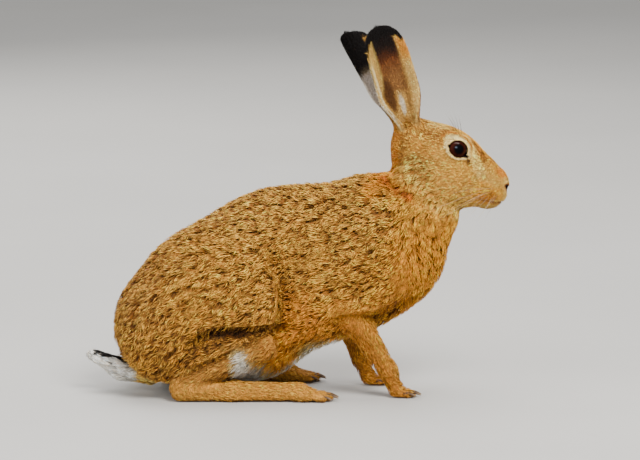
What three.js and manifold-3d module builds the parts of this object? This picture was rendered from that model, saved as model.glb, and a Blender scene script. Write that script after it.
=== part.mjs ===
// Brown hare, life size, crouched with its head up: a still model.
// Millimetres. x runs to the nose, y to the animal's left, z up from the floor.
// The body is a smooth union of named masses (ellipsoids and tapered rods). Each named part of the
// animal is meshed from it at a facet size of its own, and parted from its neighbours by thin cuts.

import * as THREE from 'three';
import { mergeVertices } from 'three/addons/utils/BufferGeometryUtils.js';
import Module from 'manifold-3d';

const wasm = await Module();
wasm.setup();

// ---------------------------------------------------------------- driving dimensions
const GAP = 0.3;                 // width of the thin cuts between parts
const SOLE = 1.4;                // height at which the soles are pressed flat
const CENTRE_X = 1.9;            // middle of the length, nose to tail tip
const CENTRE_Y = 0.0;            // middle of the width across the thighs
const EAR_LENGTH = 103;          // head to ear tip
const EYE_RADIUS = 10;           // eyeball
const EYE_AT = [151.7, 17.8, 237.8];
const EYE_LOOK = [0.24, 0.955, 0.17];
const EYE_DISH = [11.4, 4.6, 10.4];   // the hollow round the eye: along the head, deep, high
const EYE_DISH_OUT = 9.4;
const BELLY_CLEARANCE = 9;       // trunk above the floor
const HAUNCH_CLEARANCE = 8;
const HIND_FOOT_Y = 49;          // hind feet stand this far out
const HEEL_X = -108;
const LEFT_FOOT_BACK = 12;       // the left hind foot stands a little behind the right one
const CLAW = { length: 10, root: 1.9, tip: 0.45 };
const FACET = {                   // facet sizes along x, y and z
  trunk: [18, 15.5, 17], neck: [12, 12, 12], head: [8.1, 7.4, 7.8], haunch: [14, 12, 14], foot: [10, 5.6, 5.9],
  foreleg: [6.4, 5.8, 8.6], tail: [9.5, 8, 8],
};

// ---------------------------------------------------------------- colours of the coat
const COAT = {
  trunk: [0x8a6a45, 0.95], neck: [0xa8733f, 0.95], head: [0x9a7048, 0.95], tail: [0xe6e0d4, 0.95],
  haunch: [0x8c6c49, 0.95], foot: [0xb98a55, 0.95], foreleg: [0xb07a42, 0.95], ear: [0x6b5138, 0.95],
  eye: [0x3a1a0c, 0.12], claw: [0x2b211b, 0.45],
};

// ---------------------------------------------------------------- the masses
// E: centre, radii, [pitch, yaw, roll]     C: end, end, radius, radius, share of width
// then the blend with what is before it, and 0 for the middle or 1 for both sides
const TRUNK = [
  ['hindquarters', 'E', [-72.5, 0, 76], [86, 54, 90], [18, 0, 0], 30, 0],
  ['rump', 'E', [-143, 0, 62], [29.5, 43, 41], [0, 0, 0], 30, 0],
  ['loin', 'E', [-18, 0, 134], [68.5, 48, 66], [12, 0, 0], 35, 0],
  ['ribs', 'E', [45.5, 0, 135], [73.5, 46, 69], [-5, 0, 0], 30, 0],
  ['breast', 'E', [87.5, 0, 138], [56, 40, 57], [-40, 0, 0], 30, 0],
  ['belly', 'E', [16.5, 0, 89], [76, 45, 43.5], [14, 0, 0], 30, 0],
  ['shoulder_blade', 'E', [64, 25, 148], [27, 21, 52], [-20, 0, 0], 26, 1],
  ['withers', 'E', [72, 0, 182.5], [34, 20, 27], [6, 0, 0], 22, 0],
  ['upper_arm', 'E', [72, 31, 112], [34, 15, 26], [-48, 0, 0], 22, 1],
];
const NECK = [
  ['neck', 'C', [99, 0, 158], [120.5, 0, 208], 35, 25, 0.86, 18, 0],
  ['throat', 'E', [130, 0, 178], [25, 25, 31.5], [20, 0, 0], 18, 0],
  ['nape_side', 'E', [108, 14, 196], [18, 16, 34], [-12, 0, 0], 14, 1],
];
const HEAD = [
  ['braincase', 'E', [124, 0, 231], [36, 24.5, 31], [-28, 0, 0], 14, 0],
  ['muzzle', 'C', [146, 0, 224], [185, 0, 203], 25, 15.5, 0.84, 14, 0],
  ['bridge', 'E', [169, 0, 221], [30, 15.5, 13.5], [-40, 0, 0], 12, 0],
  ['jaw', 'E', [164, 0, 196], [30, 17, 17], [4, 0, 0], 12, 0],
  ['cheek', 'E', [135, 13.5, 210], [26, 15, 24], [-22, 8, 0], 12, 1],
  ['cheek_bone', 'E', [155, 12.6, 221.5], [25, 9.3, 10.5], [-34, -12, 0], 15, 1],
  ['brow', 'E', [147, 12.0, 239.6], [20, 9.0, 8.0], [-26, -6, 0], 16, 1],
  ['eye_back', 'E', [147, 11.0, 233.5], [21, 10.6, 13], [-24, -6, 0], 16, 1],
  ['whisker_pad', 'E', [185.0, 6.6, 194.6], [14.0, 8.8, 11.6], [-18, -13, 0], 9, 1],
  ['nose', 'E', [191.5, 0, 205], [10, 8.2, 8.5], [-40, 0, 0], 6, 0],
  ['nostril_wing', 'E', [195.5, 4.2, 200.5], [5, 4, 4.5], [-30, -20, 0], 4, 1],
  ['chin', 'E', [183, 0, 184.5], [11, 8, 7], [8, 0, 0], 5, 0],
  ['ear_root', 'E', [108, 12, 250], [14, 10, 13], [70, 0, 0], 14, 1],
];
const THIGH = [
  ['thigh', 'E', [-80, 46, 86], [64, 24, 62], [10, 0, 0], 16, 0],
  ['knee', 'E', [-42, 50, 82], [30, 18, 33], [-4, 0, 0], 16, 0],
  ['buttock', 'E', [-124, 38, 62], [40, 24, 46], [0, 0, 0], 16, 0],
];
const SHANK = [['shank', 'C', [-32, 53, 58], [-106, 50, 20], 20, 12.5, 0.72, 6, 0]];
const HIND_FOOT = [
  ['heel', 'C', [HEEL_X, HIND_FOOT_Y, 12.5], [-60, HIND_FOOT_Y, 10.5], 12.5, 10.5, 0.95, 6, 0],
  ['metatarsus', 'C', [-60, HIND_FOOT_Y, 10.5], [2, HIND_FOOT_Y - 1, 10], 10.5, 9.6, 1.12, 6, 0],
  ['ball', 'E', [6, HIND_FOOT_Y - 1, 8.6], [14, 13, 8.8], [-4, 0, 0], 6, 0],
];
const HIND_TOES = [[-9.6, 30], [-3.2, 37], [3.2, 36.5], [9.4, 30]];    // across, reach past the ball
const FORE = {
  right: { shoulder: [92, -34, 118], elbow: [50, -35, 86], wrist: [87, -31, 28], knuckle: [95, -30, 9.8], out: -1 },
  left: { shoulder: [84, 34, 118], elbow: [42, 35, 86], wrist: [62, 31, 28], knuckle: [69, 30, 9.8], out: 1 },
};
const FORE_TOES = [[-7.4, 12], [-2.6, 16], [2.6, 15.5], [7.2, 11]];    // across, reach past the knuckle
const TAIL = [
  ['dock', 'C', [-138, 0, 19], [-166, 0, 23], 12.5, 11, 1.0, 8, 0],
  ['tail_tip', 'C', [-166, 0, 23], [-193, 0, 36], 11, 6.6, 1.05, 8, 0],
];
const EARS = {
  right: { base: [107.0, -15.0, 258.3], tip: [-0.25, -0.28, 0.926], open: [0.30, -0.95, 0.0] },
  left: { base: [103.0, 14.5, 257.3], tip: [-0.455, 0.09, 0.886], open: [0.70, 0.71, 0.0] },
};

// ---------------------------------------------------------------- small vector helpers
const dot = (a, b) => a[0] * b[0] + a[1] * b[1] + a[2] * b[2];
const cross = (a, b) => [a[1] * b[2] - a[2] * b[1], a[2] * b[0] - a[0] * b[2], a[0] * b[1] - a[1] * b[0]];
const unit = (a) => { const l = Math.hypot(...a); return a.map((v) => v / l); };
const along = (p, d, t) => [p[0] + d[0] * t, p[1] + d[1] * t, p[2] + d[2] * t];
const clamp = (v, lo, hi) => Math.min(hi, Math.max(lo, v));
const rad = THREE.MathUtils.degToRad;

// ---------------------------------------------------------------- distance to a mass, negative inside
const smin = (a, b, k) => { const h = Math.max(k - Math.abs(a - b), 0) / k; return Math.min(a, b) - h * h * k * 0.25; };
const smax = (a, b, k) => -smin(-a, -b, k);

function axesOf([pitch, yaw, roll]) {
  const p = rad(pitch), w = rad(yaw), r = rad(roll);
  const ax = [Math.cos(p) * Math.cos(w), Math.cos(p) * Math.sin(w), Math.sin(p)];
  const side = [-Math.sin(w), Math.cos(w), 0];
  const up = cross(ax, side);
  const ay = side.map((v, i) => v * Math.cos(r) + up[i] * Math.sin(r));
  return [ax, ay, cross(ax, ay)];
}

function ellipsoid(centre, r, axes) {
  const inv = r.map((v) => 1 / v), inv2 = r.map((v) => 1 / (v * v));
  return (x, y, z) => {
    const d = [x - centre[0], y - centre[1], z - centre[2]];
    const a = dot(d, axes[0]), b = dot(d, axes[1]), c = dot(d, axes[2]);
    const k0 = Math.hypot(a * inv[0], b * inv[1], c * inv[2]);
    const k1 = Math.hypot(a * inv2[0], b * inv2[1], c * inv2[2]);
    return k0 * (k0 - 1) / Math.max(k1, 1e-6);
  };
}

function rod(a, b, ra, rb, width = 1) {
  const ab = [b[0] - a[0], b[1] - a[1], b[2] - a[2]], l2 = dot(ab, ab), scale = Math.min(1, (1 + width) / 2);
  return (x, y, z) => {
    const d = [x - a[0], y - a[1], z - a[2]];
    const t = clamp(dot(d, ab) / l2, 0, 1);
    return (Math.hypot(d[0] - ab[0] * t, (d[1] - ab[1] * t) / width, d[2] - ab[2] * t) - (ra + (rb - ra) * t)) * scale;
  };
}

function massesOf(table) {
  return table.map((m) => ({
    f: m[1] === 'E' ? ellipsoid(m[2], m[3], axesOf(m[4])) : rod(m[2], m[3], m[4], m[5], m[6]),
    k: m[m.length - 2], both: m[m.length - 1] === 1,
  }));
}

function blend(table) {
  const list = massesOf(table);
  return (x, y, z) => {
    let d = null;
    for (const { f, k, both } of list) {
      const v = f(x, y, z);
      d = d === null ? v : smin(d, v, k);
      if (both) d = smin(d, f(x, -y, z), k);
    }
    return d;
  };
}

// ---------------------------------------------------------------- the animal
const trunkMass = blend(TRUNK), neckMass = blend(NECK), headMass = blend(HEAD);
const thighMass = blend(THIGH), shankMass = blend(SHANK), footMass = blend(HIND_FOOT), tailMass = blend(TAIL);

const eyeOut = unit(EYE_LOOK);
const eyeFore = (() => { const a = [1, 0, -0.42], t = dot(a, eyeOut); return unit(along(a, eyeOut, -t)); })();
const eyeDish = ellipsoid(along(EYE_AT, eyeOut, EYE_DISH_OUT), EYE_DISH, [eyeFore, eyeOut, cross(eyeFore, eyeOut)]);
const head = (x, y, z) => smax(headMass(x, y, z), -eyeDish(x, Math.abs(y), z), 2);

const torso = (x, y, z) => smin(smax(trunkMass(x, y, z), BELLY_CLEARANCE - z, 26), neckMass(x, y, z), 16);

const SIDES = [['right', -1], ['left', 1]];
const thigh = (s) => (x, y, z) => smax(thighMass(x, y * s, z), HAUNCH_CLEARANCE - z, 16);
const shank = (s) => (x, y, z) => shankMass(x + (s > 0 ? LEFT_FOOT_BACK * 0.7 : 0), y * s, z);
const hindToes = HIND_TOES.map(([off, reach]) => rod([4, HIND_FOOT_Y - 1 + off * 0.75, 8.8], [reach - 5, HIND_FOOT_Y - 1 + off, 5.6], 6.0, 4.9, 0.95));
const hindFoot = (s) => (x, y, z) => {
  const fx = x + (s > 0 ? LEFT_FOOT_BACK : 0), fy = y * s;
  return hindToes.reduce((d, toe) => smin(d, toe(fx, fy, z), 3), footMass(fx, fy, z));
};

function foreLeg(side) {
  const { shoulder, elbow, wrist, knuckle, out } = FORE[side];
  const arm = rod(shoulder, elbow, 24, 19, 0.66), forearm = rod(elbow, wrist, 17, 9.6, 0.86), hand = rod(wrist, knuckle, 9.4, 8.8);
  const toes = FORE_TOES.map(([off, reach]) => rod([knuckle[0] - 1, knuckle[1] + off * 0.6 * out, 8.2], [knuckle[0] + reach, knuckle[1] + off * out, 5.0], 5.6, 4.3));
  return (x, y, z) => {
    let d = smin(smin(arm(x, y, z), forearm(x, y, z), 14), hand(x, y, z), 6);
    for (const toe of toes) d = smin(d, toe(x, y, z), 3);
    return d;
  };
}

const legs = SIDES.map(([side, s]) => ({ side, s, thigh: thigh(s), shank: shank(s), foot: hindFoot(s), fore: foreLeg(side) }));

// the whole animal but for its ears
function animal(x, y, z) {
  let d = smin(torso(x, y, z), head(x, y, z), 10);
  for (const leg of legs) d = smin(d, leg.thigh(x, y, z), 18);
  for (const leg of legs) {
    d = smin(d, smin(leg.shank(x, y, z), leg.foot(x, y, z), 6), 7);
    d = smin(d, leg.fore(x, y, z), 11);
  }
  return smin(d, tailMass(x, y, z), 8);
}

// the same without its lower legs and tail, for the trunk and thighs
function carcass(x, y, z) {
  let d = smin(torso(x, y, z), head(x, y, z), 10);
  for (const leg of legs) d = smin(d, leg.thigh(x, y, z), 18);
  return d;
}

// ---------------------------------------------------------------- meshing a distance field
// One vertex in each cell that the surface crosses, drawn on to the surface; one quad for each crossed edge.
function meshField(field, lo, hi, h) {
  const n = [0, 1, 2].map((i) => Math.ceil((hi[i] - lo[i]) / h[i]) + 1);
  const least = Math.min(...h) * 0.02;
  const value = new Float64Array(n[0] * n[1] * n[2]);
  const at = (i, j, k) => (k * n[1] + j) * n[0] + i;
  const boxed = (x, y, z) => Math.max(field(x, y, z), lo[0] + h[0] * 0.6 - x, x - hi[0] + h[0] * 0.6, lo[1] + h[1] * 0.6 - y, y - hi[1] + h[1] * 0.6, lo[2] + h[2] * 0.6 - z, z - hi[2] + h[2] * 0.6);
  for (let k = 0; k < n[2]; k++) for (let j = 0; j < n[1]; j++) for (let i = 0; i < n[0]; i++) {
    let v = boxed(lo[0] + i * h[0], lo[1] + j * h[1], lo[2] + k * h[2]);
    if (Math.abs(v) < least) v = v < 0 ? -least : least;
    value[at(i, j, k)] = v;
  }
  const points = [], cell = new Int32Array(n[0] * n[1] * n[2]).fill(-1);
  const slope = (p) => {
    const e = 0.3, g = [0, 0, 0];
    for (let c = 0; c < 3; c++) {
      const a = p.slice(), b = p.slice();
      a[c] += e; b[c] -= e;
      g[c] = (boxed(...a) - boxed(...b)) / (2 * e);
    }
    return g;
  };
  for (let k = 0; k < n[2] - 1; k++) for (let j = 0; j < n[1] - 1; j++) for (let i = 0; i < n[0] - 1; i++) {
    let count = 0;
    const sum = [0, 0, 0];
    for (let axis = 0; axis < 3; axis++) for (let u = 0; u < 2; u++) for (let w = 0; w < 2; w++) {
      const o = [0, 0, 0];
      o[(axis + 1) % 3] = u; o[(axis + 2) % 3] = w;
      const q = o.slice(); q[axis] = 1;
      const a = value[at(i + o[0], j + o[1], k + o[2])], b = value[at(i + q[0], j + q[1], k + q[2])];
      if ((a < 0) === (b < 0)) continue;
      const t = a / (a - b);
      sum[0] += i + o[0] + (axis === 0 ? t : 0);
      sum[1] += j + o[1] + (axis === 1 ? t : 0);
      sum[2] += k + o[2] + (axis === 2 ? t : 0);
      count++;
    }
    if (!count) continue;
    const start = [0, 1, 2].map((c) => lo[c] + sum[c] / count * h[c]);
    let p = start.slice();
    for (let step = 0; step < 3; step++) {
      const v = boxed(...p), g = slope(p), g2 = dot(g, g);
      if (g2 < 0.05) break;
      p = along(p, g, -v / Math.max(g2, 0.5));
    }
    for (let c = 0; c < 3; c++) p[c] = clamp(p[c], start[c] - h[c] * 0.4, start[c] + h[c] * 0.4);
    cell[at(i, j, k)] = points.length;
    points.push(p);
  }
  const faces = [];
  const quad = (a, b, c, d, flip) => {
    const P = [a, b, c, d].map((m) => points[m]);
    const straight = Math.hypot(P[0][0] - P[2][0], P[0][1] - P[2][1], P[0][2] - P[2][2]) <= Math.hypot(P[1][0] - P[3][0], P[1][1] - P[3][1], P[1][2] - P[3][2]);
    const list = straight ? [[a, b, c], [a, c, d]] : [[a, b, d], [b, c, d]];
    for (const f of list) faces.push(flip ? [f[0], f[2], f[1]] : f);
  };
  for (let k = 0; k < n[2] - 1; k++) for (let j = 0; j < n[1] - 1; j++) for (let i = 0; i < n[0] - 1; i++) {
    const a = value[at(i, j, k)] < 0;
    if (j && k && a !== (value[at(i + 1, j, k)] < 0)) quad(cell[at(i, j - 1, k - 1)], cell[at(i, j, k - 1)], cell[at(i, j, k)], cell[at(i, j - 1, k)], !a);
    if (i && k && a !== (value[at(i, j + 1, k)] < 0)) quad(cell[at(i - 1, j, k - 1)], cell[at(i - 1, j, k)], cell[at(i, j, k)], cell[at(i, j, k - 1)], !a);
    if (i && j && a !== (value[at(i, j, k + 1)] < 0)) quad(cell[at(i - 1, j - 1, k)], cell[at(i, j - 1, k)], cell[at(i, j, k)], cell[at(i - 1, j, k)], !a);
  }
  return solidFrom(points, faces);
}

// ---------------------------------------------------------------- solids
function solidFrom(points, faces) {
  return new wasm.Manifold(new wasm.Mesh({ numProp: 3, vertProperties: new Float32Array(points.flat()), triVerts: new Uint32Array(faces.flat()) }));
}

function solidOf(geometry) {
  let g = geometry.clone();
  g.deleteAttribute('normal');
  g.deleteAttribute('uv');
  g = mergeVertices(g, 1e-4);
  return new wasm.Manifold(new wasm.Mesh({ numProp: 3, vertProperties: new Float32Array(g.attributes.position.array), triVerts: new Uint32Array(g.index.array) }));
}

// everything on the far side of a plane from its normal
function behind(point, normal) {
  const size = 900;
  const box = new THREE.BoxGeometry(size, size, size);
  const n = new THREE.Vector3(...unit(normal));
  box.translate(0, 0, -size / 2);
  box.applyQuaternion(new THREE.Quaternion().setFromUnitVectors(new THREE.Vector3(0, 0, 1), n));
  box.translate(...point);
  return solidOf(box);
}

// an outline in the side view, grown by a margin and carried across the body from y0 to y1
function grown(outline, margin) {
  const n = outline.length, lines = outline.map((p, i) => {
    const q = outline[(i + 1) % n], d = [q[0] - p[0], q[1] - p[1]], l = Math.hypot(...d);
    return { p: [p[0] + d[1] / l * margin, p[1] - d[0] / l * margin], d: [d[0] / l, d[1] / l] };
  });
  return lines.map((b, i) => {
    const a = lines[(i + n - 1) % n], det = a.d[0] * b.d[1] - a.d[1] * b.d[0];
    if (Math.abs(det) < 1e-6) return b.p;
    const t = ((b.p[0] - a.p[0]) * b.d[1] - (b.p[1] - a.p[1]) * b.d[0]) / det;
    return [a.p[0] + a.d[0] * t, a.p[1] + a.d[1] * t];
  });
}

function across(outline, y0, y1, margin = 0) {
  const points = margin ? grown(outline, margin) : outline;
  const depth = y1 - y0 + 2 * margin;
  const g = new THREE.ExtrudeGeometry(new THREE.Shape(points.map((p) => new THREE.Vector2(p[0], p[1]))), { depth, bevelEnabled: false, steps: 1 });
  g.applyMatrix4(new THREE.Matrix4().makeRotationX(Math.PI / 2));   // x, z of the outline; y runs to -depth
  g.translate(0, y1 + margin, 0);
  return solidOf(g);
}

// ---------------------------------------------------------------- where the animal is parted
const HEAD_CUT = { at: [97, 0, 222], n: [0.607, 0, 0.794] };
const NECK_CUT = { at: [88, 0, 206], n: [0.70, 0, 0.714] };

// thigh: an ellipse in the side view, from well inside the body outwards
function thighOutline() {
  const c = [-83, 84], r = [84, 82], tilt = rad(8), list = [];
  for (let i = 0; i < 44; i++) {
    const t = i / 44 * Math.PI * 2, a = r[0] * Math.cos(t), b = r[1] * Math.sin(t);
    list.push([c[0] + a * Math.cos(tilt) - b * Math.sin(tilt), c[1] + a * Math.sin(tilt) + b * Math.cos(tilt)]);
  }
  return list;
}
const thighSpan = (s) => (s > 0 ? [33, 110] : [-110, -33]);

// hind foot: under a line that runs from behind the heel to the toes
function footOutline(s) {
  const back = s > 0 ? -LEFT_FOOT_BACK : 0;
  return [[-130, -20], [70, -20], [70, 18], [14, 22.5], [-58, 22], [-96, 25.5], [-112, 26.5], [-124, 22], [-130, 14]].map(([x, z]) => [x + back, z]);
}
const footSpan = (s) => (s > 0 ? [35.5, 90] : [-90, -35.5]);

// foreleg: a band that follows elbow, wrist and paw
function foreOutline(side) {
  const { elbow: e, wrist: w, knuckle: k } = FORE[side];
  const dx = w[0] - e[0], dz = w[2] - e[2], l = Math.hypot(dx, dz), nx = -dz / l, nz = dx / l;  // forward and up of the forearm
  return [
    [e[0] - nx * 21 - 3, e[2] - nz * 21 + 6], [w[0] - nx * 13.5, w[2] - nz * 13.5], [k[0] - 15, k[2] + 2], [k[0] - 15, -20],
    [k[0] + 42, -20], [k[0] + 42, 14], [k[0] + 16, k[2] + 16], [w[0] + nx * 13.5, w[2] + nz * 13.5],
    [e[0] + dx * 0.36 + nx * 21, e[2] + dz * 0.36 + nz * 21], [e[0] + nx * 18, e[2] + nz * 18 + 4], [e[0] - 4, e[2] + 11], [e[0] - 18, e[2] + 6],
  ];
}
const foreSpan = (s) => (s > 0 ? [14, 80] : [-80, -14]);

// tail: under the rump
const TAIL_OUTLINE = [[-230, -20], [-150, -20], [-150, 25], [-160, 33.5], [-172, 43], [-184, 60], [-230, 66]];
const TAIL_SPAN = [-18, 18];

// ---------------------------------------------------------------- ears: a cupped shell, tube at the root
function earFrame(e) {
  const u = unit(e.tip), w = unit(along(e.open, u, -dot(e.open, u)));
  return { at: e.base, u, v: cross(w, u), w };
}
const earRise = (s) => { const t = clamp(s / 0.36, 0, 1); return t * t * (3 - 2 * t); };
const earFull = (s) => 18 + 4.9 * earRise(s);
const earWrap = (s) => rad(118 - 62 * earRise(s));
const earHalf = (s) => earFull(s) * Math.sqrt(clamp(1 - clamp((s - 0.55) / 0.45, 0, 1) ** 3.6, 0, 1));
const earRound = (s) => earFull(s) / earWrap(s);
const earCentre = (s) => earRound(s) * 0.72 - 5 - 4 * s * s;
const earThick = (s) => 2.5 - 0.9 * clamp(s, 0, 1);

function ear(side, margin = 0) {
  const f = earFrame(EARS[side]), rows = [];
  for (const s of [0, 0.16, 0.32, 0.48, 0.62, 0.75, 0.86, 0.93, 0.975, 0.996]) rows.push([s * EAR_LENGTH, s, 1]);
  rows.unshift([-10 - margin, 0, 1]);
  rows.push([EAR_LENGTH + 0.9 + margin, 0.996, 0.45]);
  const steps = 6, points = [], faces = [];
  const rings = rows.map(([height, s, shrink]) => {
    const rho = earRound(s), phi = earHalf(s) / rho * shrink, th = earThick(s) * (shrink < 1 ? 0.5 : 1) + margin, c = earCentre(s), ring = [];
    const put = (a, r) => { const v = r * Math.sin(a), w = c - r * Math.cos(a); ring.push(points.length); points.push(along(along(along(f.at, f.u, height), f.v, v), f.w, w)); };
    for (let i = 0; i <= steps; i++) put(-phi + 2 * phi * i / steps, rho + th);
    const lip = Math.min(phi + th / rho, rad(174));
    put(lip, rho);
    for (let i = steps; i >= 0; i--) put(-phi + 2 * phi * i / steps, rho - th);
    put(-lip, rho);
    return ring;
  });
  const m = rings[0].length;
  for (let r = 0; r + 1 < rings.length; r++) for (let i = 0; i < m; i++) {
    const a = rings[r][i], b = rings[r][(i + 1) % m], c = rings[r + 1][(i + 1) % m], d = rings[r + 1][i];
    faces.push([a, b, c], [a, c, d]);
  }
  const cap = (ring, flip) => {
    const outer = [m - 1, ...Array.from({ length: steps + 1 }, (_, i) => i), steps + 1];
    const inner = [m - 1, ...Array.from({ length: steps + 1 }, (_, i) => m - 2 - i), steps + 1];
    for (let i = 0; i + 1 < outer.length; i++) {
      const a = ring[outer[i]], b = ring[outer[i + 1]], c = ring[inner[i + 1]], d = ring[inner[i]];
      const add = (p, q, r) => { if (p !== q && q !== r && p !== r) faces.push(flip ? [p, r, q] : [p, q, r]); };
      add(a, b, c); add(a, c, d);
    }
  };
  cap(rings[0], true);
  cap(rings[rings.length - 1], false);
  return solidFrom(points, faces);
}

// ---------------------------------------------------------------- claws: short curved cones at the toe tips
function claw(at, out, margin = 0) {
  const sides = 4, rows = 3, points = [], faces = [], rings = [];
  for (let r = 0; r < rows; r++) {
    const t = r / (rows - 1), radius = CLAW.root + (CLAW.tip - CLAW.root) * t ** 1.3 + margin;
    const centre = [at[0] + CLAW.length * t, at[1] + out * 0.9 * t, at[2] - 2.6 * t * t], ring = [];
    for (let i = 0; i < sides; i++) {
      const a = i / sides * Math.PI * 2;
      ring.push(points.length);
      points.push([centre[0] - (r === 0 ? margin : 0) + radius * Math.cos(a) * 0.35 * t, centre[1] + radius * 0.72 * Math.sin(a), centre[2] + radius * Math.cos(a)]);
    }
    rings.push(ring);
  }
  for (let r = 0; r + 1 < rows; r++) for (let i = 0; i < sides; i++) {
    const a = rings[r][i], b = rings[r][(i + 1) % sides], c = rings[r + 1][(i + 1) % sides], d = rings[r + 1][i];
    faces.push([a, c, b], [a, d, c]);
  }
  for (const [ring, flip] of [[rings[0], false], [rings[rows - 1], true]]) for (let i = 1; i + 1 < sides; i++) faces.push(flip ? [ring[0], ring[i + 1], ring[i]] : [ring[0], ring[i], ring[i + 1]]);
  return solidFrom(points, faces);
}
const hindClaws = (s) => HIND_TOES.map(([off, reach]) => [[reach - 6.4 - (s > 0 ? LEFT_FOOT_BACK : 0), s * (HIND_FOOT_Y - 1 + off), 7.2], s * Math.sign(off)]);
const foreClaws = (side) => FORE_TOES.map(([off, reach]) => {
  const { knuckle: k, out } = FORE[side];
  return [[k[0] + reach - 2.0, k[1] + off * out, 6.4], out * Math.sign(off)];
});

// ---------------------------------------------------------------- the parts
const group = new THREE.Group();
group.position.set(-CENTRE_X, -CENTRE_Y, -SOLE);

// cuts leave a few corners a hair apart: those joined by an edge under SPECK become one
const SPECK = 0.04;
function tidy(m) {
  const P = Array.from(m.vertProperties), owner = P.slice(0, P.length / 3).map((_, i) => i);
  const find = (a) => { while (owner[a] !== a) a = owner[a]; return a; };
  const T = Array.from(m.triVerts);
  for (let t = 0; t < T.length; t += 3) for (let c = 0; c < 3; c++) {
    const a = find(T[t + c]), b = find(T[t + (c + 1) % 3]);
    if (a !== b && Math.hypot(P[3 * a] - P[3 * b], P[3 * a + 1] - P[3 * b + 1], P[3 * a + 2] - P[3 * b + 2]) < SPECK) owner[Math.max(a, b)] = Math.min(a, b);
  }
  const kept = [];
  for (let t = 0; t < T.length; t += 3) {
    const f = [find(T[t]), find(T[t + 1]), find(T[t + 2])];
    if (f[0] !== f[1] && f[1] !== f[2] && f[0] !== f[2]) kept.push(...f);
  }
  return { points: P, index: kept };
}

function put(name, solid, kind) {
  const { points, index } = tidy(solid.getMesh()), g = new THREE.BufferGeometry();
  g.setAttribute('position', new THREE.BufferAttribute(new Float32Array(points), 3));
  g.setIndex(new THREE.BufferAttribute(new Uint32Array(index), 1));
  g.computeVertexNormals();
  const [color, roughness] = COAT[kind];
  const mesh = new THREE.Mesh(g, new THREE.MeshStandardMaterial({ color, roughness, metalness: 0 }));
  mesh.name = name;
  group.add(mesh);
}

const floorUp = behind([0, 0, SOLE], [0, 0, -1]);                // what is above the soles
const headFront = behind(along(HEAD_CUT.at, unit(HEAD_CUT.n), GAP / 2), HEAD_CUT.n.map((v) => -v));
const headBack = behind(along(HEAD_CUT.at, unit(HEAD_CUT.n), -GAP / 2), HEAD_CUT.n);
const neckFront = behind(along(NECK_CUT.at, unit(NECK_CUT.n), GAP / 2), NECK_CUT.n.map((v) => -v));
const neckBack = behind(along(NECK_CUT.at, unit(NECK_CUT.n), -GAP / 2), NECK_CUT.n);

// trunk
let trunk = meshField(carcass, [-190, -82, -6], [172, 82, 236], FACET.trunk).intersect(neckBack);
for (const { side, s } of legs) {
  trunk = trunk.subtract(across(thighOutline(), ...thighSpan(s), GAP));
  trunk = trunk.subtract(across(footOutline(s), ...footSpan(s), GAP));
  trunk = trunk.subtract(across(foreOutline(side), ...foreSpan(s), GAP));
}
trunk = trunk.subtract(across(TAIL_OUTLINE, ...TAIL_SPAN, GAP));
put('trunk', trunk, 'trunk');

// neck and head
put('neck', meshField(carcass, [60, -60, 120], [190, 60, 250], FACET.neck).intersect(neckFront).intersect(headBack), 'neck');
let skull = meshField(carcass, [70, -48, 150], [216, 48, 282], FACET.head).intersect(headFront);
const eyeball = new THREE.IcosahedronGeometry(EYE_RADIUS, 2), socket = new THREE.IcosahedronGeometry(EYE_RADIUS + GAP * 1.2, 2);
for (const [side, s] of SIDES) {
  const place = [EYE_AT[0], EYE_AT[1] * s, EYE_AT[2]];
  skull = skull.subtract(solidOf(socket.clone().translate(...place))).subtract(ear(side, GAP));
}
put('head', skull, 'head');
for (const [side, s] of SIDES) {
  put(`eye_${side}`, solidOf(eyeball.clone().translate(EYE_AT[0], EYE_AT[1] * s, EYE_AT[2])), 'eye');
  put(`ear_${side}`, ear(side), 'ear');
}

// tail
put('tail', meshField(animal, [-215, -40, -6], [-135, 40, 80], FACET.tail).intersect(across(TAIL_OUTLINE, ...TAIL_SPAN)), 'tail');

// legs
for (const leg of legs) {
  const { side, s } = leg;
  const y = s > 0 ? [24, 86] : [-86, -24];
  const upper = (x, yy, z) => smin(carcass(x, yy, z), leg.shank(x, yy, z), 7);
  const haunch = meshField(upper, [-186, y[0], -8], [14, y[1], 182], FACET.haunch)
    .intersect(across(thighOutline(), ...thighSpan(s))).subtract(across(footOutline(s), ...footSpan(s), GAP)).subtract(across(TAIL_OUTLINE, ...TAIL_SPAN, GAP));
  put(`haunch_${side}`, haunch, 'haunch');

  const sole = (x, yy, z) => smin(leg.shank(x, yy, z), leg.foot(x, yy, z), 6);
  const fy = s > 0 ? [28, 70] : [-70, -28];
  let foot = meshField(sole, [-142, fy[0], -8], [52, fy[1], 40], FACET.foot).intersect(across(footOutline(s), ...footSpan(s))).intersect(floorUp);
  for (const [at, out] of hindClaws(s)) foot = foot.subtract(claw(at, out, GAP));
  put(`hindfoot_${side}`, foot, 'foot');
  hindClaws(s).forEach(([at, out], i) => put(`claw_hind_${side}_${i + 1}`, claw(at, out), 'claw'));

  const gy = s > 0 ? [6, 66] : [-66, -6];
  let fore = meshField(animal, [14, gy[0], -8], [150, gy[1], 124], FACET.foreleg).intersect(across(foreOutline(side), ...foreSpan(s))).intersect(floorUp);
  for (const [at, out] of foreClaws(side)) fore = fore.subtract(claw(at, out, GAP));
  put(`foreleg_${side}`, fore, 'foreleg');
  foreClaws(side).forEach(([at, out], i) => put(`claw_fore_${side}_${i + 1}`, claw(at, out), 'claw'));
}

export default group;
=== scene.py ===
# A brown hare, life size, crouched with its head up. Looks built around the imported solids.
from math import sin, cos, radians, sqrt, pi
import bpy
import numpy as np
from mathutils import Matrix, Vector
from mathutils.kdtree import KDTree


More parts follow.
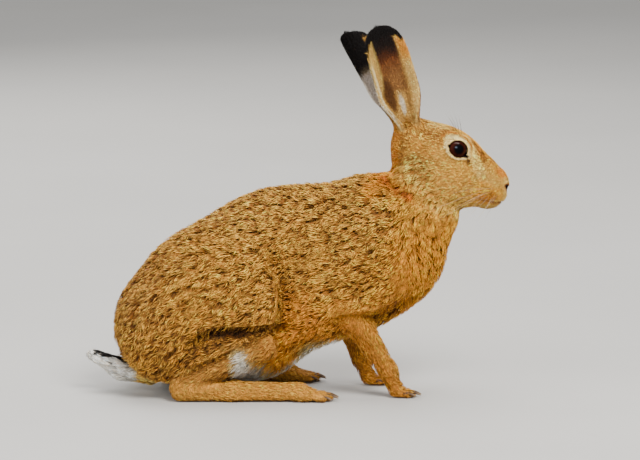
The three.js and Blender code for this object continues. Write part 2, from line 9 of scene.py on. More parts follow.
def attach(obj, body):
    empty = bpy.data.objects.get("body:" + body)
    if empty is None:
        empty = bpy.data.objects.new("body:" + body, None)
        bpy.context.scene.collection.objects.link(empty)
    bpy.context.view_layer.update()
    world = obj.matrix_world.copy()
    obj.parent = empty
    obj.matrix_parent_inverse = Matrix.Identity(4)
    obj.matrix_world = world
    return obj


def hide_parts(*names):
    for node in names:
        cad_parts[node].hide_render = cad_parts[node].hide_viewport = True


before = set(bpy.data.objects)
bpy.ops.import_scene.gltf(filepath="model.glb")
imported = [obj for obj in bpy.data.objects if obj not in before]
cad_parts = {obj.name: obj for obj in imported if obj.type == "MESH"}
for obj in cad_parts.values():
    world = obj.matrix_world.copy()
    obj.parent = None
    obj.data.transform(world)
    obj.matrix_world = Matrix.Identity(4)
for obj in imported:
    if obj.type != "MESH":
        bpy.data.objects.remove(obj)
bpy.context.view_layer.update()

# All shapes are worked out in millimetres in the animal's own frame, as the solids are:
# x to the nose, y to its left, z up. SHIFT then carries them to the part's origin on the floor.
SHIFT = np.array([1.9, 0.0, 1.4])
SOLE = 1.4
RNG = np.random.default_rng(20)

# ---------------------------------------------------------------- shape helpers
def smin(a, b, k):
    h = np.maximum(k - np.abs(a - b), 0.0) / k
    return np.minimum(a, b) - h * h * k * 0.25

def smax(a, b, k):
    return -smin(-a, -b, k)

def rot_rows(pitch, yaw=0.0, roll=0.0):
    p, w, r = radians(pitch), radians(yaw), radians(roll)
    ax = np.array([cos(p) * cos(w), cos(p) * sin(w), sin(p)])
    side = np.array([-sin(w), cos(w), 0.0])
    up = np.cross(ax, side)
    ay = side * cos(r) + up * sin(r)
    az = np.cross(ax, ay)
    return ax, ay, az

def ell(P, c, r, rot=(0, 0, 0)):
    ax, ay, az = rot_rows(*rot)
    dx, dy, dz = P[0] - c[0], P[1] - c[1], P[2] - c[2]
    a = dx * ax[0] + dy * ax[1] + dz * ax[2]
    b = dx * ay[0] + dy * ay[1] + dz * ay[2]
    e = dx * az[0] + dy * az[1] + dz * az[2]
    k0 = np.sqrt((a / r[0]) ** 2 + (b / r[1]) ** 2 + (e / r[2]) ** 2)
    k1 = np.sqrt((a / r[0] ** 2) ** 2 + (b / r[1] ** 2) ** 2 + (e / r[2] ** 2) ** 2)
    return k0 * (k0 - 1.0) / np.maximum(k1, 1e-6)

def cone(P, a, b, ra, rb, sq=1.0):
    ab = [b[i] - a[i] for i in range(3)]
    L2 = sum(v * v for v in ab)
    dx, dy, dz = P[0] - a[0], P[1] - a[1], P[2] - a[2]
    t = np.clip((dx * ab[0] + dy * ab[1] + dz * ab[2]) / L2, 0, 1)
    ex, ey, ez = dx - ab[0] * t, (dy - ab[1] * t) / sq, dz - ab[2] * t
    return (np.sqrt(ex * ex + ey * ey + ez * ez) - (ra + (rb - ra) * t)) * min(1.0, (1 + sq) / 2)

# ---------------------------------------------------------------- the masses
# name, shape, sizes, blend, sides (0 middle, 1 left and right)
# E: centre, radii, (pitch, yaw, roll).  C: end, end, radius, radius, width share.
TRUNK = [
    ("hindquarters", "E", (-72.5, 0, 76), (86, 54, 90), (18, 0, 0), 30, 0),
    ("rump", "E", (-143, 0, 62), (29.5, 43, 41), (0, 0, 0), 30, 0),
    ("loin", "E", (-18, 0, 134), (68.5, 48, 66), (12, 0, 0), 35, 0),
    ("ribs", "E", (45.5, 0, 135), (73.5, 46, 69), (-5, 0, 0), 30, 0),
    ("breast", "E", (87.5, 0, 138), (56, 40, 57), (-40, 0, 0), 30, 0),
    ("belly", "E", (16.5, 0, 89), (76, 45, 43.5), (14, 0, 0), 30, 0),
    ("shoulder_blade", "E", (64, 25, 148), (27, 21, 52), (-20, 0, 0), 26, 1),
    ("withers", "E", (72, 0, 182.5), (34, 20, 27), (6, 0, 0), 22, 0),
    ("upper_arm", "E", (72, 31, 112), (34, 15, 26), (-48, 0, 0), 22, 1),
]
NECK = [
    ("neck", "C", (99, 0, 158), (120.5, 0, 208), 35, 25, 0.86, 18, 0),
    ("throat", "E", (130, 0, 178), (25, 25, 31.5), (20, 0, 0), 18, 0),
    ("nape_side", "E", (108, 14, 196), (18, 16, 34), (-12, 0, 0), 14, 1),
]
HEAD = [
    ("braincase", "E", (124, 0, 231), (36, 24.5, 31), (-28, 0, 0), 14, 0),
    ("muzzle", "C", (146, 0, 224), (185, 0, 203), 25, 15.5, 0.84, 14, 0),
    ("bridge", "E", (169, 0, 221), (30, 15.5, 13.5), (-40, 0, 0), 12, 0),
    ("jaw", "E", (164, 0, 196), (30, 17, 17), (4, 0, 0), 12, 0),
    ("cheek", "E", (135, 13.5, 210), (26, 15, 24), (-22, 8, 0), 12, 1),
    ("cheek_bone", "E", (155, 12.6, 221.5), (25, 9.3, 10.5), (-34, -12, 0), 15, 1),
    ("brow", "E", (147, 12.0, 239.6), (20, 9.0, 8.0), (-26, -6, 0), 16, 1),
    ("eye_back", "E", (147, 11.0, 233.5), (21, 10.6, 13), (-24, -6, 0), 16, 1),
    ("whisker_pad", "E", (185.0, 6.6, 194.6), (14.0, 8.8, 11.6), (-18, -13, 0), 9, 1),
    ("nose", "E", (191.5, 0, 205), (10, 8.2, 8.5), (-40, 0, 0), 6, 0),
    ("nostril_wing", "E", (195.5, 4.2, 200.5), (5, 4, 4.5), (-30, -20, 0), 4, 1),
    ("chin", "E", (183, 0, 184.5), (11, 8, 7), (8, 0, 0), 5, 0),
    ("ear_root", "E", (108, 12, 250), (14, 10, 13), (70, 0, 0), 14, 1),
]
HAUNCH = [
    ("thigh", "E", (-80, 46, 86), (64, 24, 62), (10, 0, 0), 16),
    ("knee", "E", (-42, 50, 82), (30, 18, 33), (-4, 0, 0), 16),
    ("buttock", "E", (-124, 38, 62), (40, 24, 46), (0, 0, 0), 16),
]
SHANK = [("shank", "C", (-32, 53, 58), (-106, 50, 20), 20, 12.5, 0.72, 6)]
HEEL_X, HEEL_Z, FOOT_Y = -108, 12.5, 49.0
HINDFOOT = [
    ("heel", "C", (HEEL_X, FOOT_Y, HEEL_Z), (-60, FOOT_Y, 10.5), 12.5, 10.5, 0.95, 6),
    ("metatarsus", "C", (-60, FOOT_Y, 10.5), (2, FOOT_Y - 1, 10), 10.5, 9.6, 1.12, 6),
    ("ball", "E", (6, FOOT_Y - 1, 8.6), (14, 13, 8.8), (-4, 0, 0), 6),
]
HIND_TOES = [(-9.6, 30), (-3.2, 37), (3.2, 36.5), (9.4, 30)]     # across, reach past the ball
HIND_BACK = {"right": 0.0, "left": -12.0}                       # the left foot stands a little behind
FORE = {
    "right": dict(sh=(92, -34, 118), el=(50, -35, 86), wr=(87, -31, 28), kn=(95, -30, 9.8), out=-1),
    "left": dict(sh=(84, 34, 118), el=(42, 35, 86), wr=(62, 31, 28), kn=(69, 30, 9.8), out=1),
}
FORE_TOES = [(-7.4, 12), (-2.6, 16), (2.6, 15.5), (7.2, 11)]
TAIL = [
    ("dock", "C", (-138, 0, 19), (-166, 0, 23), 12.5, 11, 1.0, 8),
    ("tail_tip", "C", (-166, 0, 23), (-193, 0, 36), 11, 6.6, 1.05, 8),
]
EYE_R = 10.0
EYE = (151.7, 17.8, 237.8)            # centre of the left eyeball
EYE_AXIS = (0.24, 0.955, 0.17)        # where it looks

def mass(m, P):
    return ell(P, *m[2:5]) if m[1] == "E" else cone(P, *m[2:7])

def chain(table, P, d=None):
    """Blends a table of masses one after another."""
    Q = (P[0], -P[1], P[2])
    for m in table:
        k, sides = m[-2], m[-1]
        if sides != -1:
            v = mass(m, P)
            d = v if d is None else smin(d, v, k)
        if sides in (1, -1):
            d = smin(d, mass(m, Q), k)
    return d

def limb(table, P, d=None):
    for m in table:
        v = mass(m, P)
        d = v if d is None else smin(d, v, m[-1])
    return d

# ---- the ears: a cupped shell, an arc of radius rho and half angle phi at each height
EAR_LEN = 103.0
EARS = {
    "right": dict(base=(107.0, -15.0, 258.3), tip=(-0.25, -0.28, 0.926), open=(0.30, -0.95, 0.0)),
    "left": dict(base=(103.0, 14.5, 257.3), tip=(-0.455, 0.09, 0.886), open=(0.70, 0.71, 0.0)),
}

def ear_frame(e):
    u = np.array(e["tip"], float); u /= np.linalg.norm(u)
    w = np.array(e["open"], float); w -= u * (w @ u); w /= np.linalg.norm(w)
    return np.array(e["base"], float), u, np.cross(w, u), w

def ear_full(s):
    t = np.clip(s / 0.36, 0, 1)
    return 18 + 4.9 * t * t * (3 - 2 * t)

def ear_phi_full(s):
    # half the angle that the section wraps: nearly a tube at the root, an open cup above
    t = np.clip(s / 0.36, 0, 1)
    t = t * t * (3 - 2 * t)
    return np.radians(118 - 62 * t)

def ear_half(s):
    t = np.clip((s - 0.55) / 0.45, 0, 1)
    return ear_full(s) * np.sqrt(np.clip(1 - t ** 3.6, 0, 1))

def ear_rho(s):
    return ear_full(s) / ear_phi_full(s)

def ear_centre(s):
    # where the arc's centre stands in front of the ear's axis: the back of the cup stays near it
    return ear_rho(s) * 0.72 - 5.0 - 4.0 * s * s

def ear_thick(s):
    return 2.5 - 0.9 * np.clip(s, 0, 1)

def ear_local(P, e):
    b, uu, vv, ww = ear_frame(e)
    dx, dy, dz = P[0] - b[0], P[1] - b[1], P[2] - b[2]
    return (dx * uu[0] + dy * uu[1] + dz * uu[2], dx * vv[0] + dy * vv[1] + dz * vv[2], dx * ww[0] + dy * ww[1] + dz * ww[2])

def ear_sdf(P, e):
    u, v, w = ear_local(P, e)
    s = np.clip(u / EAR_LEN, 0.0, 1.0)
    rho, phi = ear_rho(s), ear_half(s) / ear_rho(s)
    wq = w - ear_centre(s)
    av = np.abs(v)
    r = np.sqrt(v * v + wq * wq) + 1e-9
    inside = np.arctan2(av, -wq) <= phi
    d_end = np.sqrt((av - rho * np.sin(phi)) ** 2 + (wq + rho * np.cos(phi)) ** 2)
    d2 = np.where(inside, np.abs(r - rho), d_end)
    over = np.maximum(u - EAR_LEN, 0.0) + np.maximum(-10.0 - u, 0.0)
    return np.sqrt(d2 * d2 + over * over) - ear_thick(s)

EYE_DISH = (11.4, 4.6, 10.4)          # the hollow in which the eye sits: along the head, deep, high
EYE_DISH_OUT = 9.4                    # its middle, out along the eye's axis

def eye_frame():
    w = np.array(EYE_AXIS, float); w /= np.linalg.norm(w)
    a = np.array([1.0, 0.0, -0.42]); a -= w * (a @ w); a /= np.linalg.norm(a)   # towards the nose
    return a, w, np.cross(a, w)

def eye_dish(P):
    a, w, b = eye_frame()
    c = np.array(EYE) + w * EYE_DISH_OUT
    dx, dy, dz = P[0] - c[0], np.abs(P[1]) - c[1], P[2] - c[2]
    p = (dx * a[0] + dy * a[1] + dz * a[2], dx * w[0] + dy * w[1] + dz * w[2], dx * b[0] + dy * b[1] + dz * b[2])
    r = EYE_DISH
    k0 = np.sqrt((p[0] / r[0]) ** 2 + (p[1] / r[1]) ** 2 + (p[2] / r[2]) ** 2)
    k1 = np.sqrt((p[0] / r[0] ** 2) ** 2 + (p[1] / r[1] ** 2) ** 2 + (p[2] / r[2] ** 2) ** 2)
    return k0 * (k0 - 1.0) / np.maximum(k1, 1e-6)

def f_head(P):
    return smax(chain(HEAD, P), -eye_dish(P), 2.0)


# ---------------------------------------------------------------- the whole animal
# how deep the coat lies over the flesh, part by part
NO_COAT = dict(trunk=0, neck=0, head=0, haunch=0, shank=0, foot=0, fore=0, tail=0, ear=0)
COAT_DEPTH = dict(trunk=6.5, neck=4.5, head=1.5, haunch=6.5, shank=4.0, foot=1.7, fore=2.4, tail=3.6, ear=0.75)

# folds of the coat in the side view: path, width on its left and on its right going along it,
# depth, how far out from the middle they start
FOLDS = [
    ("under_thigh", [(-22, 75), (-50, 74), (-76, 73), (-92, 66)], 11.0, 2.2, 12.0, 34),
    ("shank_top", [(-34, 63), (-64, 48), (-98, 33)], 5.0, 3.0, 6.0, 40),
    ("thigh_front", [(-19, 72), (-15, 90), (-14, 112), (-24, 134)], 2.4, 13.0, 7.5, 34),
    ("under_breast", [(44, 82), (74, 84), (106, 97)], 3.0, 10.0, 7.0, 16),
    ("elbow", [(30, 74), (52, 66), (70, 52)], 3.2, 7.0, 2.2, 22),
    ("behind_shoulder", [(36, 92), (30, 120), (34, 150)], 9.0, 5.0, 2.2, 28),
    ("under_cheek", [(92, 203), (112, 192), (128, 186)], 3.4, 4.6, 3.0, 6),
    ("loin_hollow", [(-6, 150), (2, 120), (6, 90)], 12.0, 14.0, 2.6, 30),
    ("knee_swell", [(-26, 92), (-34, 82)], 12.0, 12.0, -1.8, 40),
    ("thigh_swell", [(-44, 84), (-74, 84)], 11.0, 11.0, -1.6, 44),
    ("shoulder_swell", [(82, 152), (66, 118)], 15.0, 15.0, -1.8, 30),
]

def path_distance(x, z, path):
    best = None
    for (x0, z0), (x1, z1) in zip(path[:-1], path[1:]):
        dx, dz = x1 - x0, z1 - z0
        t = np.clip(((x - x0) * dx + (z - z0) * dz) / (dx * dx + dz * dz), 0, 1)
        d = np.hypot(x - x0 - dx * t, z - z0 - dz * t)
        best = d if best is None else np.minimum(best, d)
    return best

def path_side(x, z, path):
    """Distance to the path, and 1 on its left or 0 on its right."""
    best, left = None, None
    for (x0, z0), (x1, z1) in zip(path[:-1], path[1:]):
        dx, dz = x1 - x0, z1 - z0
        t = np.clip(((x - x0) * dx + (z - z0) * dz) / (dx * dx + dz * dz), 0, 1)
        d = np.hypot(x - x0 - dx * t, z - z0 - dz * t)
        turn_ = dx * (z - z0) - dz * (x - x0) > 0
        if best is None:
            best, left = d, turn_
        else:
            left = np.where(d < best, turn_, left)
            best = np.minimum(best, d)
    return best, left

def folds(P):
    f = 0.0
    for _, path, wide_left, wide_right, depth, out in FOLDS:
        near, left = path_side(P[0], P[2], path)
        f = f + depth * np.exp(-(near / np.where(left, wide_left, wide_right)) ** 2) * step(out - 10, out + 6, np.abs(P[1]))
    return f

def step(a, b, v):
    t = np.clip((v - a) / (b - a), 0, 1)
    return t * t * (3 - 2 * t)

def mirrored(P, s):
    return (P[0], P[1] * s, P[2])

def reach_of(off):
    return 41.0 - 0.45 * abs(off)

def part_distances(P, D=NO_COAT):
    """Distance to each part of the animal, its coat taken off by D."""
    out = {}
    out["trunk"] = smax(chain(TRUNK, P) + D["trunk"], 9.0 + D["trunk"] * 0.7 - P[2], 26)
    out["neck"] = chain(NECK, P) + D["neck"]
    out["head"] = smax(chain(HEAD, P) + D["head"], -eye_dish(P), 2.0)
    for side, s in (("right", -1.0), ("left", 1.0)):
        Q = mirrored(P, s)
        back = 12.0 if s > 0 else 0.0
        out["haunch_" + side] = smax(limb(HAUNCH, Q) + D["haunch"], 8.0 + D["haunch"] * 0.7 - P[2], 16)
        out["shank_" + side] = limb(SHANK, (Q[0] + back * 0.7, Q[1], Q[2])) + D["shank"]
        F = (Q[0] + back, Q[1], Q[2])
        d = limb(HINDFOOT, F)
        for off, reach in HIND_TOES:
            y0 = FOOT_Y - 1
            d = smin(d, cone(F, (4, y0 + off * 0.75, 8.8), (reach - 5, y0 + off, 5.6), 6.0, 4.9, 0.95), 3.0)
        for off in (-6.4, 0.0, 6.3):
            d = smax(d, -(cone(F, (13, y0 + off * 0.9, 17.0), (reach_of(off), y0 + off, 9.5), 1.4, 2.0)), 1.6)
        out["foot_" + side] = d + D["foot"]
        f = FORE[side]
        d = cone(P, f["sh"], f["el"], 24, 19, 0.66)
        d = smin(d, cone(P, f["el"], f["wr"], 17, 9.6, 0.86), 14)
        d = smin(d, cone(P, f["wr"], f["kn"], 9.4, 8.8, 1.0), 6)
        kn = f["kn"]
        for off, reach in FORE_TOES:
            d = smin(d, cone(P, (kn[0] - 1, kn[1] + off * 0.6 * f["out"], 8.2), (kn[0] + reach, kn[1] + off * f["out"], 5.0), 5.6, 4.3, 1.0), 3.0)
        for off in (-5.0, 0.0, 4.9):
            d = smax(d, -(cone(P, (kn[0] + 4, kn[1] + off * 0.75 * f["out"], 19.4), (kn[0] + reach_of(off) - 19, kn[1] + off * f["out"], 8.2), 1.1, 1.7)), 1.4)
        out["fore_" + side] = d + D["fore"]
        out["ear_" + side] = ear_sdf(P, EARS[side]) + D["ear"]
    out["tail"] = limb(TAIL, P) + D["tail"]
    return out

def joined(q, P):
    d = smin(q["trunk"], q["neck"], 16)
    d = smin(d, q["head"], 10)
    for side in ("right", "left"):
        d = smin(d, q["haunch_" + side], 18)
    for side in ("right", "left"):
        d = smin(d, smin(q["shank_" + side], q["foot_" + side], 6), 7)
        d = smin(d, q["fore_" + side], 11)
    d = smin(d, q["tail"], 8)
    for side in ("right", "left"):
        d = smin(d, q["ear_" + side], 6)
    return d

def outline(P):
    """The animal out to the tips of its coat."""
    return smax(joined(part_distances(P), P) + folds(P), SOLE - P[2], 1.2)

# ---------------------------------------------------------------- the face
LID_OPEN = (8.7, 7.5)          # half the eye opening, along the head and up

def eye_local(P):
    """Across towards the nose, out, and up, from the eyeball's centre; both eyes at once."""
    a, w, b = eye_frame()
    d = (P[0] - EYE[0], np.abs(P[1]) - EYE[1], P[2] - EYE[2])
    return (d[0] * a[0] + d[1] * a[1] + d[2] * a[2], d[0] * w[0] + d[1] * w[1] + d[2] * w[2], d[0] * b[0] + d[1] * b[1] + d[2] * b[2])

def eye_opening(A, B):
    """Below 0 inside the lids' opening, in mm; it runs out to a point at the front and low."""
    round_ = (np.sqrt((A / LID_OPEN[0]) ** 2 + (B / LID_OPEN[1]) ** 2) - 1) * 8.5
    t = np.clip((A - 5.0) / 6.6, 0, 1)
    corner = np.hypot(A - 5.0 - 6.6 * t, B + 1.0 + 2.4 * t) - (3.9 - 3.65 * t)
    t2 = np.clip((-A - 6.0) / 3.6, 0, 1)
    rear = np.hypot(-A - 6.0 - 3.6 * t2, B + 0.6) - (3.2 - 2.9 * t2)
    return smin(smin(round_, corner, 1.2), rear, 1.2)

def on_face(y, z, deep):
    """The point that lies so deep under the front of the muzzle's outline."""
    lo, hi = 170.0, 215.0
    for _ in range(40):
        m = (lo + hi) / 2
        if chain(HEAD, (np.array([m]), np.array([y]), np.array([z])))[0] < -deep:
            lo = m
        else:
            hi = m
    return (lo, y, z)

def on_side(x, z, deep):
    lo, hi = 0.0, 40.0
    for _ in range(40):
        m = (lo + hi) / 2
        if chain(HEAD, (np.array([x]), np.array([m]), np.array([z])))[0] < -deep:
            lo = m
        else:
            hi = m
    return (x, lo, z)

SLIT = [on_face(1.5, 195.6, 2.4), on_face(3.2, 197.8, 2.6), on_face(5.4, 200.4, 2.6), on_face(7.2, 201.0, 1.9)]
WING = (on_face(3.2, 202.2, 1.6), on_face(7.0, 203.6, 1.9))
CLEFT = [on_face(0.0, 198.6, 2.0), on_face(0.0, 194.0, 2.2), on_face(0.0, 187.5, 2.6)]
MOUTH = [on_face(0.0, 186.4, 2.4), on_face(3.4, 185.6, 2.2), on_side(191.0, 185.8, 2.0), on_side(183.0, 187.4, 2.0), on_side(175.0, 189.8, 1.8)]

def nostril(Q):
    d = cone(Q, SLIT[0], SLIT[1], 0.7, 1.3)
    d = np.minimum(d, cone(Q, SLIT[1], SLIT[2], 1.3, 1.7))
    return np.minimum(d, cone(Q, SLIT[2], SLIT[3], 1.7, 0.5))

def lip_cleft(Q):
    return np.minimum(cone(Q, CLEFT[0], CLEFT[1], 0.6, 0.9), cone(Q, CLEFT[1], CLEFT[2], 0.9, 1.2))

def mouth_line(Q):
    d = cone(Q, MOUTH[0], MOUTH[1], 1.1, 1.0)
    for a, b, ra, rb in ((1, 2, 1.0, 0.9), (2, 3, 0.9, 0.8), (3, 4, 0.8, 0.5)):
        d = np.minimum(d, cone(Q, MOUTH[a], MOUTH[b], ra, rb))
    return d

def face(P, d):
    A, W, B = eye_local(P)
    r = np.sqrt(A * A + W * W + B * B)
    o = eye_opening(A, B)
    lid = smax(smax(np.abs(r - (EYE_R + 0.75)) - 0.62, -o, 0.5), o - 3.4, 1.2)
    lid = smax(lid, 2.0 - W, 1.0)
    d = smin(d, lid, 1.6)
    # the fold above the upper lid and the bag under the lower one
    d = d + 0.9 * np.exp(-((o - 4.2) / 1.1) ** 2) * step(2, 5, W) * step(-3.0, 3.0, np.abs(B) - 2.0)
    floor_ = 1.5 + 3.3 * step(8.3, 11.5, np.abs(A))
    d = smax(d, -smax(o, floor_ - W, 0.4), 0.5)                  # the opening itself
    d = smax(d, -(r - EYE_R + 0.25), 0.2)                        # room for the eyeball
    # nostrils, the cleft of the lip and the mouth
    Q = (P[0], np.abs(P[1]), P[2])
    d = smax(d, -nostril(Q), 0.7)
    d = smin(d, cone(Q, *WING, 1.5, 1.3), 1.8)
    d = smax(d, -lip_cleft(Q), 1.2)
    d = smax(d, -mouth_line(Q), 1.2)
    return d

def flesh(P):
    """The skin under the coat."""
    q = part_distances(P, COAT_DEPTH)
    d = joined(q, P) + folds(P) * 0.9
    near_head = P[0] > 120
    if near_head.any():
        H = tuple(c[near_head] for c in P)
        d = d.copy()
        d[near_head] = face(H, d[near_head])
    # folds of gristle running up inside the ears
    for side in ("right", "left"):
        e = EARS[side]
        u, v, w = ear_local(P, e)
        near = q["ear_" + side] < 3.0
        if near.any():
            s = np.clip(u[near] / EAR_LEN, 0, 1)
            rho = ear_rho(s)
            wq = w[near] - ear_centre(s)
            r = np.hypot(v[near], wq)
            ang = np.arctan2(v[near], -wq) / (ear_half(s) / rho + 1e-6)
            ridge = np.exp(-((ang - 0.30) / 0.10) ** 2) + 0.8 * np.exp(-((ang + 0.25) / 0.09) ** 2)
            d = d.copy()
            d[near] -= 0.5 * ridge * step(0.0, -1.0, r - rho) * step(0.75, 0.25, s)
    return smax(d, SOLE + 0.15 - P[2], 0.8)

# ---------------------------------------------------------------- meshing a distance field
def lines(*runs):
    """Grid lines: (start, end, step) runs, one after another."""
    out = [np.array([runs[0][0]])]
    for a, b, h in runs:
        n = max(1, int(round((b - a) / h)))
        out.append(a + (b - a) * np.arange(1, n + 1) / n)
    out = np.concatenate(out)
    pad = (-(len(out) - 1)) % 4
    return np.concatenate([out, out[-1] + np.arange(1, pad + 1) * (out[-1] - out[-2])])

def sample(field, X, Y, Z, chunk=300000):
    """The field on the grid near the surface; elsewhere only its sign."""
    axes = (X, Y, Z)
    mid = [(a[:-4:4] + a[4::4]) / 2 for a in axes]
    size = [a[4::4] - a[:-4:4] for a in axes]
    M = np.meshgrid(*mid, indexing="ij")
    S = np.meshgrid(*size, indexing="ij")
    D = field(tuple(m.ravel() for m in M)).reshape(M[0].shape)
    half = np.sqrt(sum(s * s for s in S)) / 2
    near = np.abs(D) < half * 1.35 + 1.5
    G = np.full([len(a) for a in axes], 99.0, np.float32)
    blocks = np.where(D < 0, -99.0, 99.0).astype(np.float32)
    spread = np.repeat(np.repeat(np.repeat(blocks, 4, 0), 4, 1), 4, 2)
    G[:-1, :-1, :-1] = spread
    act = np.zeros(G.shape, bool)
    n = np.repeat(np.repeat(np.repeat(near, 4, 0), 4, 1), 4, 2)
    act[:-1, :-1, :-1] |= n
    act[1:, 1:, 1:] |= n
    act[1:, :-1, :-1] |= n; act[:-1, 1:, :-1] |= n; act[:-1, :-1, 1:] |= n
    act[1:, 1:, :-1] |= n; act[1:, :-1, 1:] |= n; act[:-1, 1:, 1:] |= n
    idx = np.nonzero(act)
    out = np.empty(len(idx[0]), np.float32)
    for s in range(0, len(out), chunk):
        out[s:s + chunk] = field(tuple(axes[c][idx[c][s:s + chunk]] for c in range(3)))
    G[idx] = out
    return G

def surface_nets(G, X, Y, Z):
    inside = G < 0
    n = G.shape
    cnt = np.zeros((n[0] - 1, n[1] - 1, n[2] - 1), np.int8)
    for i in (0, 1):
        for j in (0, 1):
            for k in (0, 1):
                cnt += inside[i:n[0] - 1 + i, j:n[1] - 1 + j, k:n[2] - 1 + k]
    mixed = (cnt > 0) & (cnt < 8)
    cell = np.nonzero(mixed)
    m = len(cell[0])
    index = np.full(mixed.shape, -1, np.int64)
    index[cell] = np.arange(m)
    acc = np.zeros((m, 3)); num = np.zeros(m)
    I, J, K = cell
    for ax in range(3):
        for a in (0, 1):
            for b in (0, 1):
                o = [0, 0, 0]
                o[(ax + 1) % 3], o[(ax + 2) % 3] = a, b
                o2 = list(o); o2[ax] = 1
                v0 = G[I + o[0], J + o[1], K + o[2]].astype(float)
                v1 = G[I + o2[0], J + o2[1], K + o2[2]].astype(float)
                hit = (v0 < 0) != (v1 < 0)
                t = np.clip(np.where(hit, v0 / np.where(hit, v0 - v1, 1), 0), 0.02, 0.98)
                pos = np.stack([np.full(m, float(x)) for x in o], 1)
                pos[:, ax] = t
                acc += pos * hit[:, None]
                num += hit
    U = np.stack(cell, 1) + acc / np.maximum(num, 1)[:, None]
    V = np.stack([np.interp(U[:, c], np.arange(len(a)), a) for c, a in enumerate((X, Y, Z))], 1)
    quads = []
    for ax in range(3):
        b, c2 = (ax + 1) % 3, (ax + 2) % 3
        s0 = [slice(None)] * 3; s1 = [slice(None)] * 3
        s0[ax] = slice(0, n[ax] - 1); s1[ax] = slice(1, n[ax])
        A, B = inside[tuple(s0)], inside[tuple(s1)]
        e = np.stack(np.nonzero(A != B), 1)
        e = e[(e[:, b] > 0) & (e[:, c2] > 0) & (e[:, b] < n[b] - 1) & (e[:, c2] < n[c2] - 1)]
        flip = A[tuple(e.T)]
        def at(db, dc):
            q = e.copy(); q[:, b] -= db; q[:, c2] -= dc
            return index[tuple(q.T)]
        f = np.stack([at(1, 1), at(0, 1), at(0, 0), at(1, 0)], 1)
        quads.append(np.where(flip[:, None], f, f[:, ::-1]))
    return V, np.concatenate(quads)

def gradient(field, V, e=0.25, chunk=200000):
    g = np.empty((len(V), 3))
    for s in range(0, len(V), chunk):
        W = V[s:s + chunk]
        for ax in range(3):
            a = [W[:, i].copy() for i in range(3)]; b = [W[:, i].copy() for i in range(3)]
            a[ax] += e; b[ax] -= e
            g[s:s + chunk, ax] = (field(tuple(a)) - field(tuple(b))) / (2 * e)
    return g

def unit(v):
    return v / np.maximum(np.linalg.norm(v, axis=1, keepdims=True), 1e-9)

def columns(V):
    return (V[:, 0], V[:, 1], V[:, 2])

# ---------------------------------------------------------------- the colours of the coat
def rgb(r, g, b):
    return np.array([r, g, b], float) / 255.0

BUFF = rgb(236, 182, 104)
TAWNY = rgb(206, 148, 74)
RUST = rgb(228, 142, 56)
ORANGE = rgb(244, 178, 82)
DARK = rgb(140, 92, 46)
RED_BROWN = rgb(140, 70, 32)
BLACK = rgb(22, 18, 17)
CREAM = rgb(250, 228, 180)
WHITE = rgb(250, 244, 232)
GREY_BUFF = rgb(250, 202, 122)
BROWN = rgb(150, 98, 50)

def wobble(P, size, seed=0.0):
    x, y, z = P[0] / size + seed, P[1] / size - seed, P[2] / size + 2 * seed
    return (np.sin(x * 2.1 + 1.3 * np.sin(z * 1.7)) * np.cos(z * 2.3 + np.sin(y * 1.9)) + 0.6 * np.sin(4.3 * x - 3.1 * z + 2.2 * y)) / 1.6

class Paint:
    """Tip colour, band colour and how strongly the dark band shows, at many points."""
    def __init__(self, P):
        n = len(P[0])
        self.P = P
        self.tip = np.tile(BUFF, (n, 1))
        self.band = np.tile(DARK, (n, 1))
        self.tick = np.ones(n)

    def lay(self, mask, tip, band=None, tick=None):
        m = np.clip(mask, 0, 1)[:, None]
        self.tip = self.tip * (1 - m) + np.asarray(tip) * m
        if band is not None:
            self.band = self.band * (1 - m) + np.asarray(band) * m
        if tick is not None:
            self.tick = self.tick * (1 - m[:, 0]) + tick * m[:, 0]

def near_path(P, path, width, soft):
    return step(width + soft, width - soft * 0.3, path_distance(P[0], P[2], path))

def spot(P, x, z, rx, rz, soft=0.35):
    k = np.hypot((P[0] - x) / rx, (P[2] - z) / rz)
    return step(1 + soft, 1 - soft, k)

